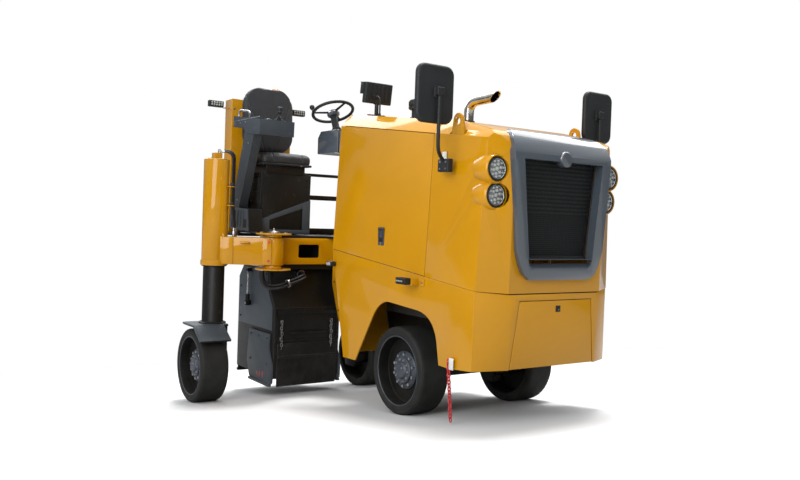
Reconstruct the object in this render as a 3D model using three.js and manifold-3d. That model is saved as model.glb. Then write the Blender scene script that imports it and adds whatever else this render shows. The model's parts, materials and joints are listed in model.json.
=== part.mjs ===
// Small wheeled cold planer milling machine, parked in its transport stance: the two rear
// lifting columns are run out, so the chassis is pitched nose down and the wheels stand level.
// Millimetres, +X forward, +Y left, +Z up, origin under the middle of the bounding box.
import * as THREE from "three";
import { mergeVertices } from "three/addons/utils/BufferGeometryUtils.js";
import Module from "manifold-3d";

const wasm = await Module();
wasm.setup();

// ---------------------------------------------------------------- driving dimensions
const GAP = 0.3; // air kept between solids that touch
const PITCH = 6.8 * Math.PI / 180; // nose-down pitch of the chassis in transport stance

const TYRE_RADIUS = 310;
const TYRE_HALF = 118;
const RIM_RADIUS = 245;
const RIM_HALF = 112;
const HUB_RADIUS = 135;
const WHEEL_SIDES = 26;
const FRONT_AXLE = { x: 912, z: 310 };
const FRONT_TRACK_HALF = 497;
const KINGPIN_Y = 320;
const REAR_WHEEL = { x: -987, z: 84 };
const RIGHT_REAR_Y = -1307;
const LEFT_REAR_Y = 316;

const BODY_HALF = 600; // half width of skirt and hood at the seam
const SHELL = 12; // sheet thickness with its stiffeners
const REAR_X = -65;
const SPLIT_X = 1183;
const CREASE_X = 1710;
const NOSE_X = 1820;
const NOSE_HALF = 390;
const HOOD_SLOPE = 0.1185;
const HOOD_SIDE_TOP = 2113;
const HOOD_CHAMFER = 95;
const TUMBLEHOME = Math.tan(2.5 * Math.PI / 180);
const SEAM_REAR = 1117;
const SEAM_SLOPE = 0.0988;
const SEAM_GAP = 4;
const DOOR_THICK = 20;

const COLUMN_INSET = 77; // column axis inboard of the wheel's middle
const COLUMN_X = -985;
const TUBE_RADIUS = 90;
const SLEEVE_RADIUS = 107.5;
const SLEEVE_TOP = 1826;
const SLEEVE_BOTTOM = 946;
const FENDER_TOP = 434;
const PIVOT = { x: -734, y: -800 }; // upright pin of the swinging column arm
const PIVOT_PIN = 30;

const BEAM = { x0: -1120, x1: -820, y0: -700, y1: 590, z0: 946, z1: 1178 };
const DRUM = { x: -1085, z: 145, y0: -660, y1: -160, radius: 215 };
const HOUSING = { x0: -1600, x1: -815, y0: -730, y1: -80, wall: 15 };
const SEAT_Y = -610;

// ---------------------------------------------------------------- materials
const paint = {
  yellow: [0xcd941c, 0.35, 0.1],
  slate: [0x64737f, 0.3, 0.2],
  darkSlate: [0x3c444b, 0.45, 0.2],
  blackSteel: [0x232220, 0.5, 0.3],
  rubber: [0x2d302e, 0.85, 0],
  blackPlastic: [0x2d3032, 0.6, 0],
  chrome: [0xb9b4aa, 0.2, 0.9],
  cushion: [0x2b2c2f, 0.7, 0],
  orange: [0xeb8250, 0.3, 0],
  lamp: [0xc8cdd0, 0.2, 0.3],
  castIron: [0x4a4c4c, 0.7, 0.4],
};

function material(name) {
  const [color, roughness, metalness] = paint[name];
  return new THREE.MeshStandardMaterial({ color, roughness, metalness });
}

// ---------------------------------------------------------------- solid helpers
function solid(geometry) {
  const bare = geometry.clone();
  bare.deleteAttribute("normal");
  bare.deleteAttribute("uv");
  const merged = mergeVertices(bare, 1e-4);
  return new wasm.Manifold(new wasm.Mesh({
    numProp: 3,
    vertProperties: new Float32Array(merged.attributes.position.array),
    triVerts: new Uint32Array(merged.index.array),
  }));
}

function geometryOf(manifold) {
  const mesh = manifold.getMesh();
  const geometry = new THREE.BufferGeometry();
  geometry.setAttribute("position", new THREE.BufferAttribute(mesh.vertProperties.slice(), 3));
  geometry.setIndex(new THREE.BufferAttribute(mesh.triVerts.slice(), 1));
  geometry.computeVertexNormals();
  return geometry;
}

function union(...parts) {
  return parts.reduce((whole, part) => whole.add(part));
}

function box(x0, x1, y0, y1, z0, z1) {
  const geometry = new THREE.BoxGeometry(x1 - x0, y1 - y0, z1 - z0);
  geometry.translate((x0 + x1) / 2, (y0 + y1) / 2, (z0 + z1) / 2);
  return solid(geometry);
}

function outline(points) {
  return new THREE.Shape(points.map(([a, b]) => new THREE.Vector2(a, b)));
}

// A plan outline (x, y) raised from z0 to z1.
function plan(shape, z0, z1, curveSegments = 8) {
  const settings = { depth: z1 - z0, bevelEnabled: false, curveSegments };
  return solid(new THREE.ExtrudeGeometry(shape, settings).translate(0, 0, z0));
}

// A side outline (x, z) run across from y0 to y1.
function across(shape, y0, y1, curveSegments = 8) {
  const settings = { depth: y1 - y0, bevelEnabled: false, curveSegments };
  return solid(new THREE.ExtrudeGeometry(shape, settings).rotateX(Math.PI / 2).translate(0, y1, 0));
}

// A front outline (y, z) run along from x0 to x1.
function along(shape, x0, x1, curveSegments = 8) {
  const settings = { depth: x1 - x0, bevelEnabled: false, curveSegments };
  const geometry = new THREE.ExtrudeGeometry(shape, settings);
  const turn = new THREE.Matrix4().makeBasis(
    new THREE.Vector3(0, 1, 0), new THREE.Vector3(0, 0, 1), new THREE.Vector3(1, 0, 0));
  return solid(geometry.applyMatrix4(turn).translate(x0, 0, 0));
}

function upright(radius, x, y, z0, z1, sides = 24) {
  const geometry = new THREE.CylinderGeometry(radius, radius, z1 - z0, sides);
  return solid(geometry.rotateX(Math.PI / 2).translate(x, y, (z0 + z1) / 2));
}

function crosswise(radius, x, z, y0, y1, sides = 24) {
  const geometry = new THREE.CylinderGeometry(radius, radius, y1 - y0, sides);
  return solid(geometry.translate(x, (y0 + y1) / 2, z));
}

function lengthwise(radius, y, z, x0, x1, sides = 24) {
  const geometry = new THREE.CylinderGeometry(radius, radius, x1 - x0, sides);
  return solid(geometry.rotateZ(Math.PI / 2).translate((x0 + x1) / 2, y, z));
}

function disc(radius, sides) {
  const shape = new THREE.Shape();
  for (let i = 0; i < sides; i += 1) {
    const angle = 2 * Math.PI * i / sides;
    const point = [radius * Math.cos(angle), radius * Math.sin(angle)];
    if (i === 0) shape.moveTo(...point);
    else shape.lineTo(...point);
  }
  return shape;
}

// A round bar along straight runs with rounded corners.
function bar(points, radius, sides = 8, steps = 16) {
  const path = new THREE.CatmullRomCurve3(
    points.map((point) => new THREE.Vector3(...point)), false, "catmullrom", 0.3);
  const settings = { steps, bevelEnabled: false, extrudePath: path };
  return solid(new THREE.ExtrudeGeometry(disc(radius, sides), settings));
}

function roundedRectangle(a0, a1, b0, b1, radius) {
  const shape = new THREE.Shape();
  shape.moveTo(a0 + radius, b0);
  shape.lineTo(a1 - radius, b0);
  shape.absarc(a1 - radius, b0 + radius, radius, -Math.PI / 2, 0, false);
  shape.lineTo(a1, b1 - radius);
  shape.absarc(a1 - radius, b1 - radius, radius, 0, Math.PI / 2, false);
  shape.lineTo(a0 + radius, b1);
  shape.absarc(a0 + radius, b1 - radius, radius, Math.PI / 2, Math.PI, false);
  shape.lineTo(a0, b0 + radius);
  shape.absarc(a0 + radius, b0 + radius, radius, Math.PI, 1.5 * Math.PI, false);
  return shape;
}

// ---------------------------------------------------------------- scene graph
const machine = new THREE.Group();
const chassis = new THREE.Group();
chassis.rotation.y = PITCH;
const chassisCarrier = new THREE.Group();
chassisCarrier.position.set(FRONT_AXLE.x, 0, FRONT_AXLE.z);
chassisCarrier.add(chassis);
machine.add(chassisCarrier);
const frameGroup = new THREE.Group();
frameGroup.position.set(-FRONT_AXLE.x, 0, -FRONT_AXLE.z);
chassis.add(frameGroup);

function add(name, manifold, finish, group = frameGroup) {
  const geometry = manifold.isBufferGeometry ? manifold : geometryOf(manifold);
  const mesh = new THREE.Mesh(geometry, material(finish));
  mesh.name = name;
  group.add(mesh);
  return mesh;
}

function seamZ(x) {
  return SEAM_REAR - SEAM_SLOPE * (x + 63);
}

// ---------------------------------------------------------------- lower body
const SKIRT_REAR = [[-63, SEAM_REAR], [153, 284]];

function skirtSide() {
  const shape = new THREE.Shape();
  shape.moveTo(...SKIRT_REAR[0]);
  shape.lineTo(...SKIRT_REAR[1]);
  shape.lineTo(332, 288);
  shape.lineTo(540, 622);
  shape.quadraticCurveTo(628, 775, 760, 780);
  shape.lineTo(1130, 757);
  shape.quadraticCurveTo(1320, 735, 1352, 540);
  shape.lineTo(1375, 425);
  shape.lineTo(1482, 422);
  shape.lineTo(CREASE_X, 440);
  shape.lineTo(NOSE_X + 1, 452);
  shape.lineTo(NOSE_X + 1, seamZ(NOSE_X) - 6);
  shape.lineTo(CREASE_X, seamZ(CREASE_X));
  return shape;
}

function bodyPlan(inset, rear) {
  const half = BODY_HALF - inset;
  const crease = CREASE_X - inset * 0.6;
  const nose = NOSE_X - inset;
  const noseHalf = NOSE_HALF - inset * 0.6;
  return outline([
    [rear, -half], [crease, -half], [nose, -noseHalf],
    [nose, noseHalf], [crease, half], [rear, half],
  ]);
}

const FRONT_DOOR = [[-380, 454], [367, 454], [335, 882], [-311, 882]];

function lowerSkirt() {
  const ring = plan(bodyPlan(0, -200), 200, 1200).subtract(plan(bodyPlan(SHELL, -300), 100, 1300));
  const doorGap = 4;
  const opening = outline([
    [-385 - doorGap, 440], [372 + doorGap, 440],
    [335 + doorGap, 882 + doorGap], [-311 - doorGap, 882 + doorGap],
  ]);
  const bulkhead = across(outline([[25, 1080], [13, 1080], [209, 330], [221, 330]]), -595, 595);
  return ring.intersect(across(skirtSide(), -BODY_HALF - 1, BODY_HALF + 1))
    .subtract(along(opening, NOSE_X - 60, NOSE_X + 20))
    .add(bulkhead.subtract(box(-20, 260, -196, 196, 300, 646)));
}

function frontDoor() {
  return along(outline(FRONT_DOOR), NOSE_X - 16, NOSE_X);
}

// ---------------------------------------------------------------- hood
function hoodSection(inset) {
  const bottom = 700;
  const bottomHalf = BODY_HALF - inset + (SEAM_REAR - bottom) * TUMBLEHOME;
  const topHalf = BODY_HALF - inset - (HOOD_SIDE_TOP - SEAM_REAR) * TUMBLEHOME;
  const sideTop = HOOD_SIDE_TOP - inset * 0.41;
  const deck = HOOD_SIDE_TOP + HOOD_CHAMFER - inset;
  const deckHalf = topHalf - HOOD_CHAMFER + inset * 0.59;
  return outline([
    [-bottomHalf, bottom], [bottomHalf, bottom], [topHalf, sideTop],
    [deckHalf, deck], [-deckHalf, deck], [-topHalf, sideTop],
  ]);
}

// The hood section run along the machine, with its top falling towards the nose.
function hoodPrism(inset, x0, x1) {
  const shear = [1, 0, -HOOD_SLOPE, 0, 0, 1, 0, 0, 0, 0, 1, 0, 0, 0, -HOOD_SLOPE * -REAR_X, 1];
  return along(hoodSection(inset), x0, x1).transform(shear);
}

function aboveSeam(x0, x1, drop = 0) {
  const rise = SEAM_GAP - drop;
  return across(outline([
    [x0, seamZ(x0) + rise], [x1, seamZ(x1) + rise], [x1, 2600], [x0, 2600],
  ]), -700, 700);
}

// Everything outside the two side doors: 1 is left, -1 is right.
function doorZone(side, grow) {
  const sideTop = (x) => HOOD_SIDE_TOP - HOOD_SLOPE * (x - REAR_X) - 6 + grow;
  const x0 = REAR_X - 1 - grow;
  const x1 = SPLIT_X - 2 + grow;
  const zone = outline([[x0, 900], [x1, 900], [x1, sideTop(x1)], [x0, sideTop(x0)]]);
  const y0 = side > 0 ? 450 : -700;
  return across(zone, y0, y0 + 250);
}

function engineDoor(side) {
  const skin = hoodPrism(0, REAR_X, SPLIT_X).subtract(hoodPrism(DOOR_THICK, REAR_X - 20, SPLIT_X + 20));
  return skin.intersect(doorZone(side, 0)).intersect(aboveSeam(REAR_X - 5, SPLIT_X));
}

function hoodShell() {
  const outer = hoodPrism(0, REAR_X, SPLIT_X);
  const inner = hoodPrism(SHELL, REAR_X + SHELL, SPLIT_X + 20);
  const jambInset = DOOR_THICK + 6;
  const jambs = hoodPrism(jambInset, REAR_X, SPLIT_X)
    .subtract(hoodPrism(jambInset + 14, REAR_X - 20, SPLIT_X + 20))
    .subtract(across(outline([[0, 800], [1120, 800], [1120, 1900], [0, 2040]]), -700, 700));
  const doorSlots = union(doorZone(1, 5), doorZone(-1, 5)).subtract(hoodPrism(jambInset, -300, 1400));
  return outer.subtract(inner).subtract(doorSlots).add(jambs)
    .intersect(aboveSeam(REAR_X - 5, SPLIT_X + 5, 2))
    .subtract(upright(46, EXHAUST.x, EXHAUST.y, 1900, 2200, 12));
}

const LIGHTS = [{ x: 1785, y: 510, z: 1707 }, { x: 1770, y: 500, z: 1544 }];
const LAMP_RADIUS = 75;
const LAMP_BACK = 1727;

function noseProfile(inset) {
  const shape = new THREE.Shape();
  shape.moveTo(1100, 900);
  shape.lineTo(NOSE_X - inset, 900);
  shape.lineTo(1826 - inset, 1788);
  shape.quadraticCurveTo(1826 - inset, 1916, 1700, 1958 - inset);
  shape.lineTo(1380, 2038 - inset);
  shape.lineTo(1340, 2400);
  shape.lineTo(1100, 2400);
  return shape;
}

function noseSolid(inset) {
  const rear = SPLIT_X + SEAM_GAP + (inset ? -30 : 0);
  const wide = plan(outline([
    [rear, -700], [CREASE_X - inset * 0.6, -BODY_HALF - 8 + inset], [NOSE_X + 6 - inset, -NOSE_HALF - 12],
    [NOSE_X + 6 - inset, NOSE_HALF + 12], [CREASE_X - inset * 0.6, BODY_HALF + 8 - inset], [rear, 700],
  ]), 800, 2400);
  return hoodPrism(inset, rear, 1900).intersect(across(noseProfile(inset), -700, 700, 5)).intersect(wide);
}

const SILL_Z = 1150; // where the surround's sloping sill meets the grille

function grilleOutline(grow) {
  return outline([
    [-290 - grow, 1150 - grow], [-276 - grow * 0.6, 1112 - grow], [-240, 1092 - grow],
    [240, 1092 - grow], [276 + grow * 0.6, 1112 - grow], [290 + grow, 1150 - grow],
    [358 + grow, 1781 + grow], [-358 - grow, 1781 + grow],
  ]);
}

function surroundOutline() {
  return outline([
    [-385, 1210], [-352, 1110], [-318, 1052], [-268, 1018], [268, 1018], [318, 1052], [352, 1110],
    [385, 1210], [436, 1820], [424, 1898], [388, 1955], [328, 1992],
    [-328, 1992], [-388, 1955], [-424, 1898], [-436, 1820],
  ]);
}

function surroundProfile() {
  const shape = new THREE.Shape();
  shape.moveTo(1640, 1000);
  shape.lineTo(1838, 1000);
  shape.lineTo(1858, 1040);
  shape.lineTo(1864, 1762);
  shape.quadraticCurveTo(1864, 1938, 1690, 1977);
  shape.lineTo(1640, 1988);
  return shape;
}

function grilleSurround() {
  const block = along(surroundOutline(), 1700, 1870)
    .intersect(across(surroundProfile(), -700, 700, 6));
  const badge = lengthwise(46, 0, 1790, 1800, 1876, 20);
  const sillSide = outline([
    [1770, 1080], [1856, 1080], [1856, 1096], [1794, SILL_Z - 2], [1770, SILL_Z - 2],
  ]);
  const sill = across(sillSide, -295, 295).intersect(along(grilleOutline(4), 1600, 1900));
  return block.subtract(along(grilleOutline(0), 1600, 1900))
    .add(sill)
    .add(badge.intersect(box(1780, 1900, -60, 60, 1735, 1840)))
    .subtract(noseSolid(-0.4).add(box(1600, 1780, -330, 330, 1000, 1900)));
}

function lampPod(light, side) {
  return lengthwise(LAMP_RADIUS + 13, side * light.y, light.z, 1700, light.x - 4, 16);
}

function frontHood() {
  let shell = noseSolid(0).subtract(noseSolid(SHELL));
  shell = shell.intersect(aboveSeam(SPLIT_X, NOSE_X + 60, 2)).subtract(along(grilleOutline(6), 1700, 1900));
  for (const side of [-1, 1]) {
    for (const light of LIGHTS) shell = shell.add(lampPod(light, side));
    for (const light of LIGHTS) {
      shell = shell.subtract(lengthwise(LAMP_RADIUS + 4, side * light.y, light.z, LAMP_BACK - 4, 1900, 16));
    }
    shell = shell.subtract(box(LAMP_BACK - 3, LAMP_BACK + 19, side * 505 - 16, side * 505 + 16, 1600, 1650));
    const eyeSlot = box(1345, 1500, side * 537 - 18, side * 537 + 18, 1880, 2200);
    shell = shell.subtract(eyeSlot);
  }
  return shell;
}

function radiatorGrille() {
  const above = box(1700, 1900, -500, 500, SILL_Z, 1900);
  return along(grilleOutline(-GAP), 1776, 1790).intersect(above)
    .add(along(grilleOutline(26), 1764, 1776.5).intersect(above));
}

function headlamps(side) {
  const [upper, lower] = LIGHTS;
  const lamp = (light) => lengthwise(LAMP_RADIUS, side * light.y, light.z, LAMP_BACK, light.x, 16);
  const link = box(LAMP_BACK, LAMP_BACK + 15, side * 505 - 12, side * 505 + 12, lower.z, upper.z);
  return union(lamp(upper), lamp(lower), link);
}

// ---------------------------------------------------------------- things on the hood
const EXHAUST = { x: 1105, y: -200, radius: 35 };

function exhaustPipe() {
  const points = [
    [EXHAUST.x, EXHAUST.y, 1560], [EXHAUST.x, EXHAUST.y, 1900], [EXHAUST.x, EXHAUST.y, 2145],
    [1140, EXHAUST.y, 2210], [1205, EXHAUST.y, 2222], [1470, EXHAUST.y, 2230],
  ];
  const slash = outline([[1330, 2180], [1450, 2290], [1560, 2290], [1560, 2100], [1330, 2100]]);
  const tip = across(slash, -300, -100);
  const bore = bar([[1205, -200, 2222], [1330, -200, 2226], [1500, -200, 2231]], EXHAUST.radius - 4, 10, 3);
  return bar(points, EXHAUST.radius, 10, 16).subtract(tip).subtract(bore);
}

function liftingEyes() {
  const plate = new THREE.Shape();
  plate.moveTo(1350, 1250);
  plate.lineTo(1495, 1250);
  plate.lineTo(1495, 1900);
  plate.lineTo(1468, 2040);
  plate.absarc(1420, 2032, 48, 0.17, Math.PI - 0.17, false);
  plate.lineTo(1350, 1900);
  const hole = new THREE.Path();
  hole.absarc(1420, 2026, 24, 0, 2 * Math.PI, true);
  plate.holes.push(hole);
  const tie = box(1360, 1490, -545, 545, 1250, 1300);
  const leg = (side) => box(1380, 1470, side * 160 - 30, side * 160 + 30, 640 + GAP, 1260);
  return union(across(plate, 528, 546, 6), across(plate, -546, -528, 6), tie, leg(1), leg(-1));
}

function mirror(side) {
  const y = side * 752;
  const head = along(roundedRectangle(y - 146, y + 146, 1990, 2362, 62), 1415, 1452, 3);
  const boss = lengthwise(34, side * 742, 2185, 1450, 1490, 10);
  const foot = box(1352, 1462, side * 622 - 22 + side * 3, side * 622 + 22 + side * 3, 1690, 1775);
  const arm = bar([
    [1470, side * 742, 2190], [1470, side * 742, 2080], [1470, side * 741, 1905],
    [1455, side * 725, 1830], [1420, side * 680, 1790], [1410, side * 640, 1760],
  ], 12, 6, 12);
  return union(head, boss, foot, arm);
}

function displayPanel() {
  const deck = deckZ(170);
  const screen = box(140, 205, -500, -250, deck + 95, deck + 270);
  const stalk = bar([[170, -380, deck + GAP + 6], [172, -380, deck + 60], [172, -380, deck + 120]], 18, 8, 4);
  const foot = plan(outline([[120, -430], [220, -430], [220, -330], [120, -330]]), deck + 7, deck + 17);
  return union(screen, stalk, foot);
}

function deckZ(x) {
  return HOOD_SIDE_TOP + HOOD_CHAMFER - HOOD_SLOPE * (x - REAR_X);
}

function airPrecleaner() {
  const bottom = deckZ(560) + 1;
  const neck = upright(34, 600, -300, bottom, bottom + 70, 16);
  return union(neck, upright(58, 600, -300, bottom + 60, bottom + 150, 20));
}

// ---------------------------------------------------------------- main frame
function pivotLug(z0, z1) {
  const shape = new THREE.Shape();
  shape.moveTo(-1100, -690);
  shape.lineTo(-1100, -780);
  shape.lineTo(-790, -862);
  shape.absarc(PIVOT.x, PIVOT.y, 78, -2.2, 0.6, false);
  shape.lineTo(-826, -690);
  return plan(shape, z0, z1, 10);
}

function crossBeam() {
  const { x0, x1, y0, y1, z0, z1 } = BEAM;
  const wall = 14;
  const hollow = box(x0 + wall, x1 - wall, y0 + wall, y1 - wall, z0 + wall, z1 - wall);
  const window = along(roundedRectangle(-515, -305, 1003, 1122, 18), x1 - 20, x1 + 20, 4);
  const end = box(-1100, -832, -760, -690, 918, 1206);
  const sleeveHole = upright(SLEEVE_RADIUS + GAP, COLUMN_X, LEFT_REAR_Y - COLUMN_INSET, 900, 1200, 28);
  return union(box(x0, x1, y0, y1, z0, z1).subtract(hollow).subtract(window), end).subtract(sleeveHole);
}

function mainFrame() {
  const rail = (side) => box(-100, 1640, side * 160 - 30, side * 160 + 30, 440, 640);
  const web = (side) => across(outline([
    [-821, 1178], [-821, 760], [-680, 440], [-70, 440], [-70, 1178],
  ]), side * 145 - 15, side * 145 + 15);
  const cross = (x) => box(x, x + 60, -170, 170, 470, 610);
  const nose = box(1560, 1640, -380, 380, 560, 640);
  const pin = upright(PIVOT_PIN, PIVOT.x, PIVOT.y, 918, 1206, 16);
  const saddle = box(850, 974, -150, 150, 372, 520);
  return union(
    rail(1), rail(-1), web(1), web(-1), cross(-100), cross(500), cross(1300), nose,
    crossBeam(), pivotLug(918, 940), pivotLug(1184, 1206), pin, saddle,
  );
}

function frontAxle() {
  const x = FRONT_AXLE.x;
  const fork = (side) => {
    const y = side * KINGPIN_Y;
    const lug = (z0, z1) => union(
      upright(45, x, y, z0, z1, 16),
      box(x - 45, x + 45, Math.min(y, side * 240), Math.max(y, side * 240), z0, z1),
    );
    const web = box(x - 45, x + 45, side * 255 - 15, side * 255 + 15, 168, 452);
    return union(lug(408, 452), lug(168, 212), web, upright(18, x, y, 168, 452, 12));
  };
  return union(box(x - 50, x + 50, -262, 262, 250, 372 - GAP), fork(1), fork(-1));
}

function strutSleeve(y) {
  const body = upright(SLEEVE_RADIUS, COLUMN_X, y, SLEEVE_BOTTOM, SLEEVE_TOP, 28);
  return body.subtract(upright(TUBE_RADIUS + 1.5, COLUMN_X, y, SLEEVE_BOTTOM - 10, SLEEVE_TOP - 26, 28));
}

// ---------------------------------------------------------------- wheels and what carries them
function tyreGeometry() {
  const bead = RIM_RADIUS + GAP;
  const profile = [
    [bead, -110], [262, -TYRE_HALF], [290, -117], [304, -108], [TYRE_RADIUS, -90],
    [TYRE_RADIUS, 90], [304, 108], [290, 117], [262, TYRE_HALF], [bead, 110], [bead, -110],
  ];
  return new THREE.LatheGeometry(profile.map(([r, y]) => new THREE.Vector2(r, y)), WHEEL_SIDES);
}

// Positive y is the outer side: a deep dish with the bolted hub standing in it.
function rimGeometry() {
  const profile = [
    [0, 50], [31, 50], [31, 10], [222, 10], [225, -RIM_HALF], [RIM_RADIUS, -RIM_HALF],
    [RIM_RADIUS, RIM_HALF], [233, RIM_HALF], [224, 100], [220, 30],
    [HUB_RADIUS, 30], [HUB_RADIUS, 80], [HUB_RADIUS - 8, 86], [0, 86],
  ];
  return new THREE.LatheGeometry(profile.map(([r, y]) => new THREE.Vector2(r, y)), WHEEL_SIDES);
}

function addWheel(name, x, y, z, side, group) {
  const turn = side > 0 ? 0 : Math.PI;
  for (const [suffix, geometry, finish] of [
    ["tyre", tyreGeometry(), "rubber"], ["rim", rimGeometry(), "blackSteel"],
  ]) {
    const mesh = new THREE.Mesh(asClosed(geometry), material(finish));
    mesh.name = `${name}_${suffix}`;
    mesh.rotation.x = turn;
    mesh.position.set(x, y, z);
    group.add(mesh);
  }
}

// A lathe turned into one closed, outward-facing body.
function asClosed(geometry) {
  const body = solid(geometry);
  return geometryOf(body.volume() > 0 ? body : solid(flipped(geometry)));
}

function flipped(geometry) {
  const turned = geometry.clone();
  const index = turned.index.array;
  for (let i = 0; i < index.length; i += 3) [index[i], index[i + 1]] = [index[i + 1], index[i]];
  return turned;
}

// Wheel motor and spindle reaching into the rim from the inner side, about the wheel's middle.
function wheelMotor(x, y, z, side, inner) {
  const from = (a, b) => [Math.min(y + side * a, y + side * b), Math.max(y + side * a, y + side * b)];
  return union(
    crosswise(112, x, z, ...from(-inner, -60)),
    crosswise(95, x, z, ...from(-70, 4)),
    crosswise(30, x, z, ...from(0, 44), 16),
  );
}

function frontKnuckle(side) {
  const { x, z } = FRONT_AXLE;
  const y = side * KINGPIN_Y;
  const barrel = upright(42, x, y, 217, 403, 16);
  const plate = box(x - 70, x + 70, Math.min(y, side * 368), Math.max(y, side * 368), 235, 385);
  const motor = wheelMotor(x, side * FRONT_TRACK_HALF, z, side, 132);
  return union(barrel, plate, motor).subtract(upright(19.2, x, y, 200, 420, 12))
    .subtract(box(x - 100, x + 100, Math.min(0, side * 275), Math.max(0, side * 275), 100, 500));
}

function rearStrut(wheelY, side) {
  const { x, z } = REAR_WHEEL;
  const columnY = wheelY - side * COLUMN_INSET;
  const span = (a, b) => [wheelY + side * a, wheelY + side * b].sort((p, q) => p - q);
  const tube = upright(TUBE_RADIUS, COLUMN_X, columnY, FENDER_TOP - 10, 1250, 28);
  const fender = box(x - 118, x + 130, ...span(-170, 132), FENDER_TOP - 14, FENDER_TOP);
  const flap = across(outline([
    [x + 120, FENDER_TOP - 13], [x + 128, FENDER_TOP],
    [x + 300, FENDER_TOP - 108], [x + 292, FENDER_TOP - 119],
  ]), ...span(-130, 132));
  const bracket = across(outline([
    [x - 116, FENDER_TOP - 5], [x - 116, z + 60], [x - 75, z - 115], [x + 75, z - 115],
    [x + 125, z + 60], [x + 125, FENDER_TOP - 5],
  ]), ...span(-166, -140));
  return union(tube, fender, flap, bracket, wheelMotor(x, wheelY, z, side, 150));
}

function swingArm() {
  const columnY = RIGHT_REAR_Y + COLUMN_INSET;
  const dx = COLUMN_X - PIVOT.x;
  const dy = columnY - PIVOT.y;
  const length = Math.hypot(dx, dy);
  const half = 88;
  const nx = -dy / length * half;
  const ny = dx / length * half;
  const beam = plan(outline([
    [PIVOT.x + nx, PIVOT.y + ny], [COLUMN_X + nx, columnY + ny],
    [COLUMN_X - nx, columnY - ny], [PIVOT.x - nx, PIVOT.y - ny],
  ]), SLEEVE_BOTTOM, 1178);
  const barrel = upright(88, PIVOT.x, PIVOT.y, SLEEVE_BOTTOM, 1178, 20);
  const bore = upright(PIVOT_PIN + 1.2, PIVOT.x, PIVOT.y, 900, 1200, 16);
  const sleeve = upright(SLEEVE_RADIUS, COLUMN_X, columnY, SLEEVE_BOTTOM, SLEEVE_TOP, 28);
  const inside = upright(TUBE_RADIUS + 1.5, COLUMN_X, columnY, SLEEVE_BOTTOM - 10, SLEEVE_TOP - 26, 28);
  const fittings = box(COLUMN_X - 34, COLUMN_X + 34, columnY - 34, columnY + 34, SLEEVE_TOP - 6, 1884);
  return union(beam, barrel, sleeve, fittings).subtract(inside).subtract(bore);
}

// ---------------------------------------------------------------- milling unit
function housingProfile(inset) {
  const { x0, x1 } = HOUSING;
  return outline([
    [x0 + inset, -60], [x1 - inset, -60 - (inset ? 100 : 0)],
    [x1 - inset, 560], [-905 - inset * 0.4, 700 - inset],
    [-950, 905 - inset], [-1500, 905 - inset], [x0 + inset, 790 - inset],
  ]);
}

function drumHousing() {
  const { x0, y0, y1, wall } = HOUSING;
  const inner = outline([
    [x0 - 40, -300], [-815 - wall, -300], [-815 - wall, 552], [-918, 690], [-962, 905 - wall],
    [-1492, 905 - wall], [x0 + wall, 782], [x0 + wall, 560], [x0 - 40, 560],
  ]);
  const hangers = box(-1110, -840, -680, y1, 900, BEAM.z0 - GAP);
  const hosePort = lengthwise(38, -450, 850, -950, -900, 12);
  return union(across(housingProfile(0), y0, y1), hangers, hosePort)
    .subtract(across(inner, y0 + wall, y1 - wall));
}

function frontFlap() {
  const panel = box(-812, -803, -700, -110, -128, 250);
  const ribs = box(-806, -796, -690, -120, 120, 140);
  return panel.add(ribs);
}

function skidPlate(side) {
  const y0 = side < 0 ? -751 : -74;
  const plate = outline([
    [-1330, 40], [-1270, -100], [-1180, -128], [-860, -128], [-800, -90], [-800, 60],
    [-870, 190], [-870, 330], [-1290, 330],
  ]);
  const shoe = box(-1260, -830, y0 - 14, y0 + 29, -128, -108);
  const skid = side < 0 ? shoe.intersect(box(-1300, -800, -790, y0 + 15, -200, 0))
    : shoe.intersect(box(-1300, -800, y0, 0, -200, 0));
  return across(plate, y0, y0 + 15).add(skid);
}

function rearGate() {
  const { x0, y0, y1 } = HOUSING;
  const panel = box(x0 - 21, x0 - 7, y0 + 18, y1 - 18, -118, 548);
  const barrel = crosswise(14, x0 - 20, 548, y0 + 60, y1 - 60, 12);
  const lip = box(x0 - 44, x0 - 14, y0 + 18, y1 - 18, -118, -96);
  return union(panel, barrel, lip);
}

function millingDrum() {
  const { x, z, y0, y1, radius } = DRUM;
  const shaft = crosswise(70, x, z, -708, -102, 20);
  return crosswise(radius, x, z, y0, y1, 28).add(shaft);
}

// ---------------------------------------------------------------- operator platform
const FLOOR = { z0: 1178 + GAP, z1: 1200 };

function operatorFloor() {
  const shape = outline([
    [-1640, -960], [-1125, -960], [-1125, -684], [-838, -684], [-838, -222], [-75, -222],
    [-75, 590], [-1640, 590],
  ]);
  const sleeveHole = upright(SLEEVE_RADIUS + 2, COLUMN_X, LEFT_REAR_Y - COLUMN_INSET, 1100, 1300);
  return plan(shape, FLOOR.z0, FLOOR.z1).subtract(sleeveHole);
}

function boardingStep() {
  const cheek = (x) => box(x, x + 10, 340, 590, 420, FLOOR.z0 - GAP);
  const lowerRung = box(-610, -160, 340, 590, 420, 440);
  const upperRung = box(-610, -160, 380, 590, 790, 810);
  return union(cheek(-610), cheek(-170), lowerRung, upperRung);
}

function guardRail() {
  const post = (y) => box(-1420, -1380, y, y + 40, FLOOR.z1 + GAP, 1790);
  const bar1 = (z0, z1) => box(-1420, -1380, -310, 585, z0, z1);
  const posts = union(post(-310), post(220), post(545));
  return union(posts, bar1(1762, 1790), bar1(1535, 1580), bar1(FLOOR.z1 + GAP, 1260));
}

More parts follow.
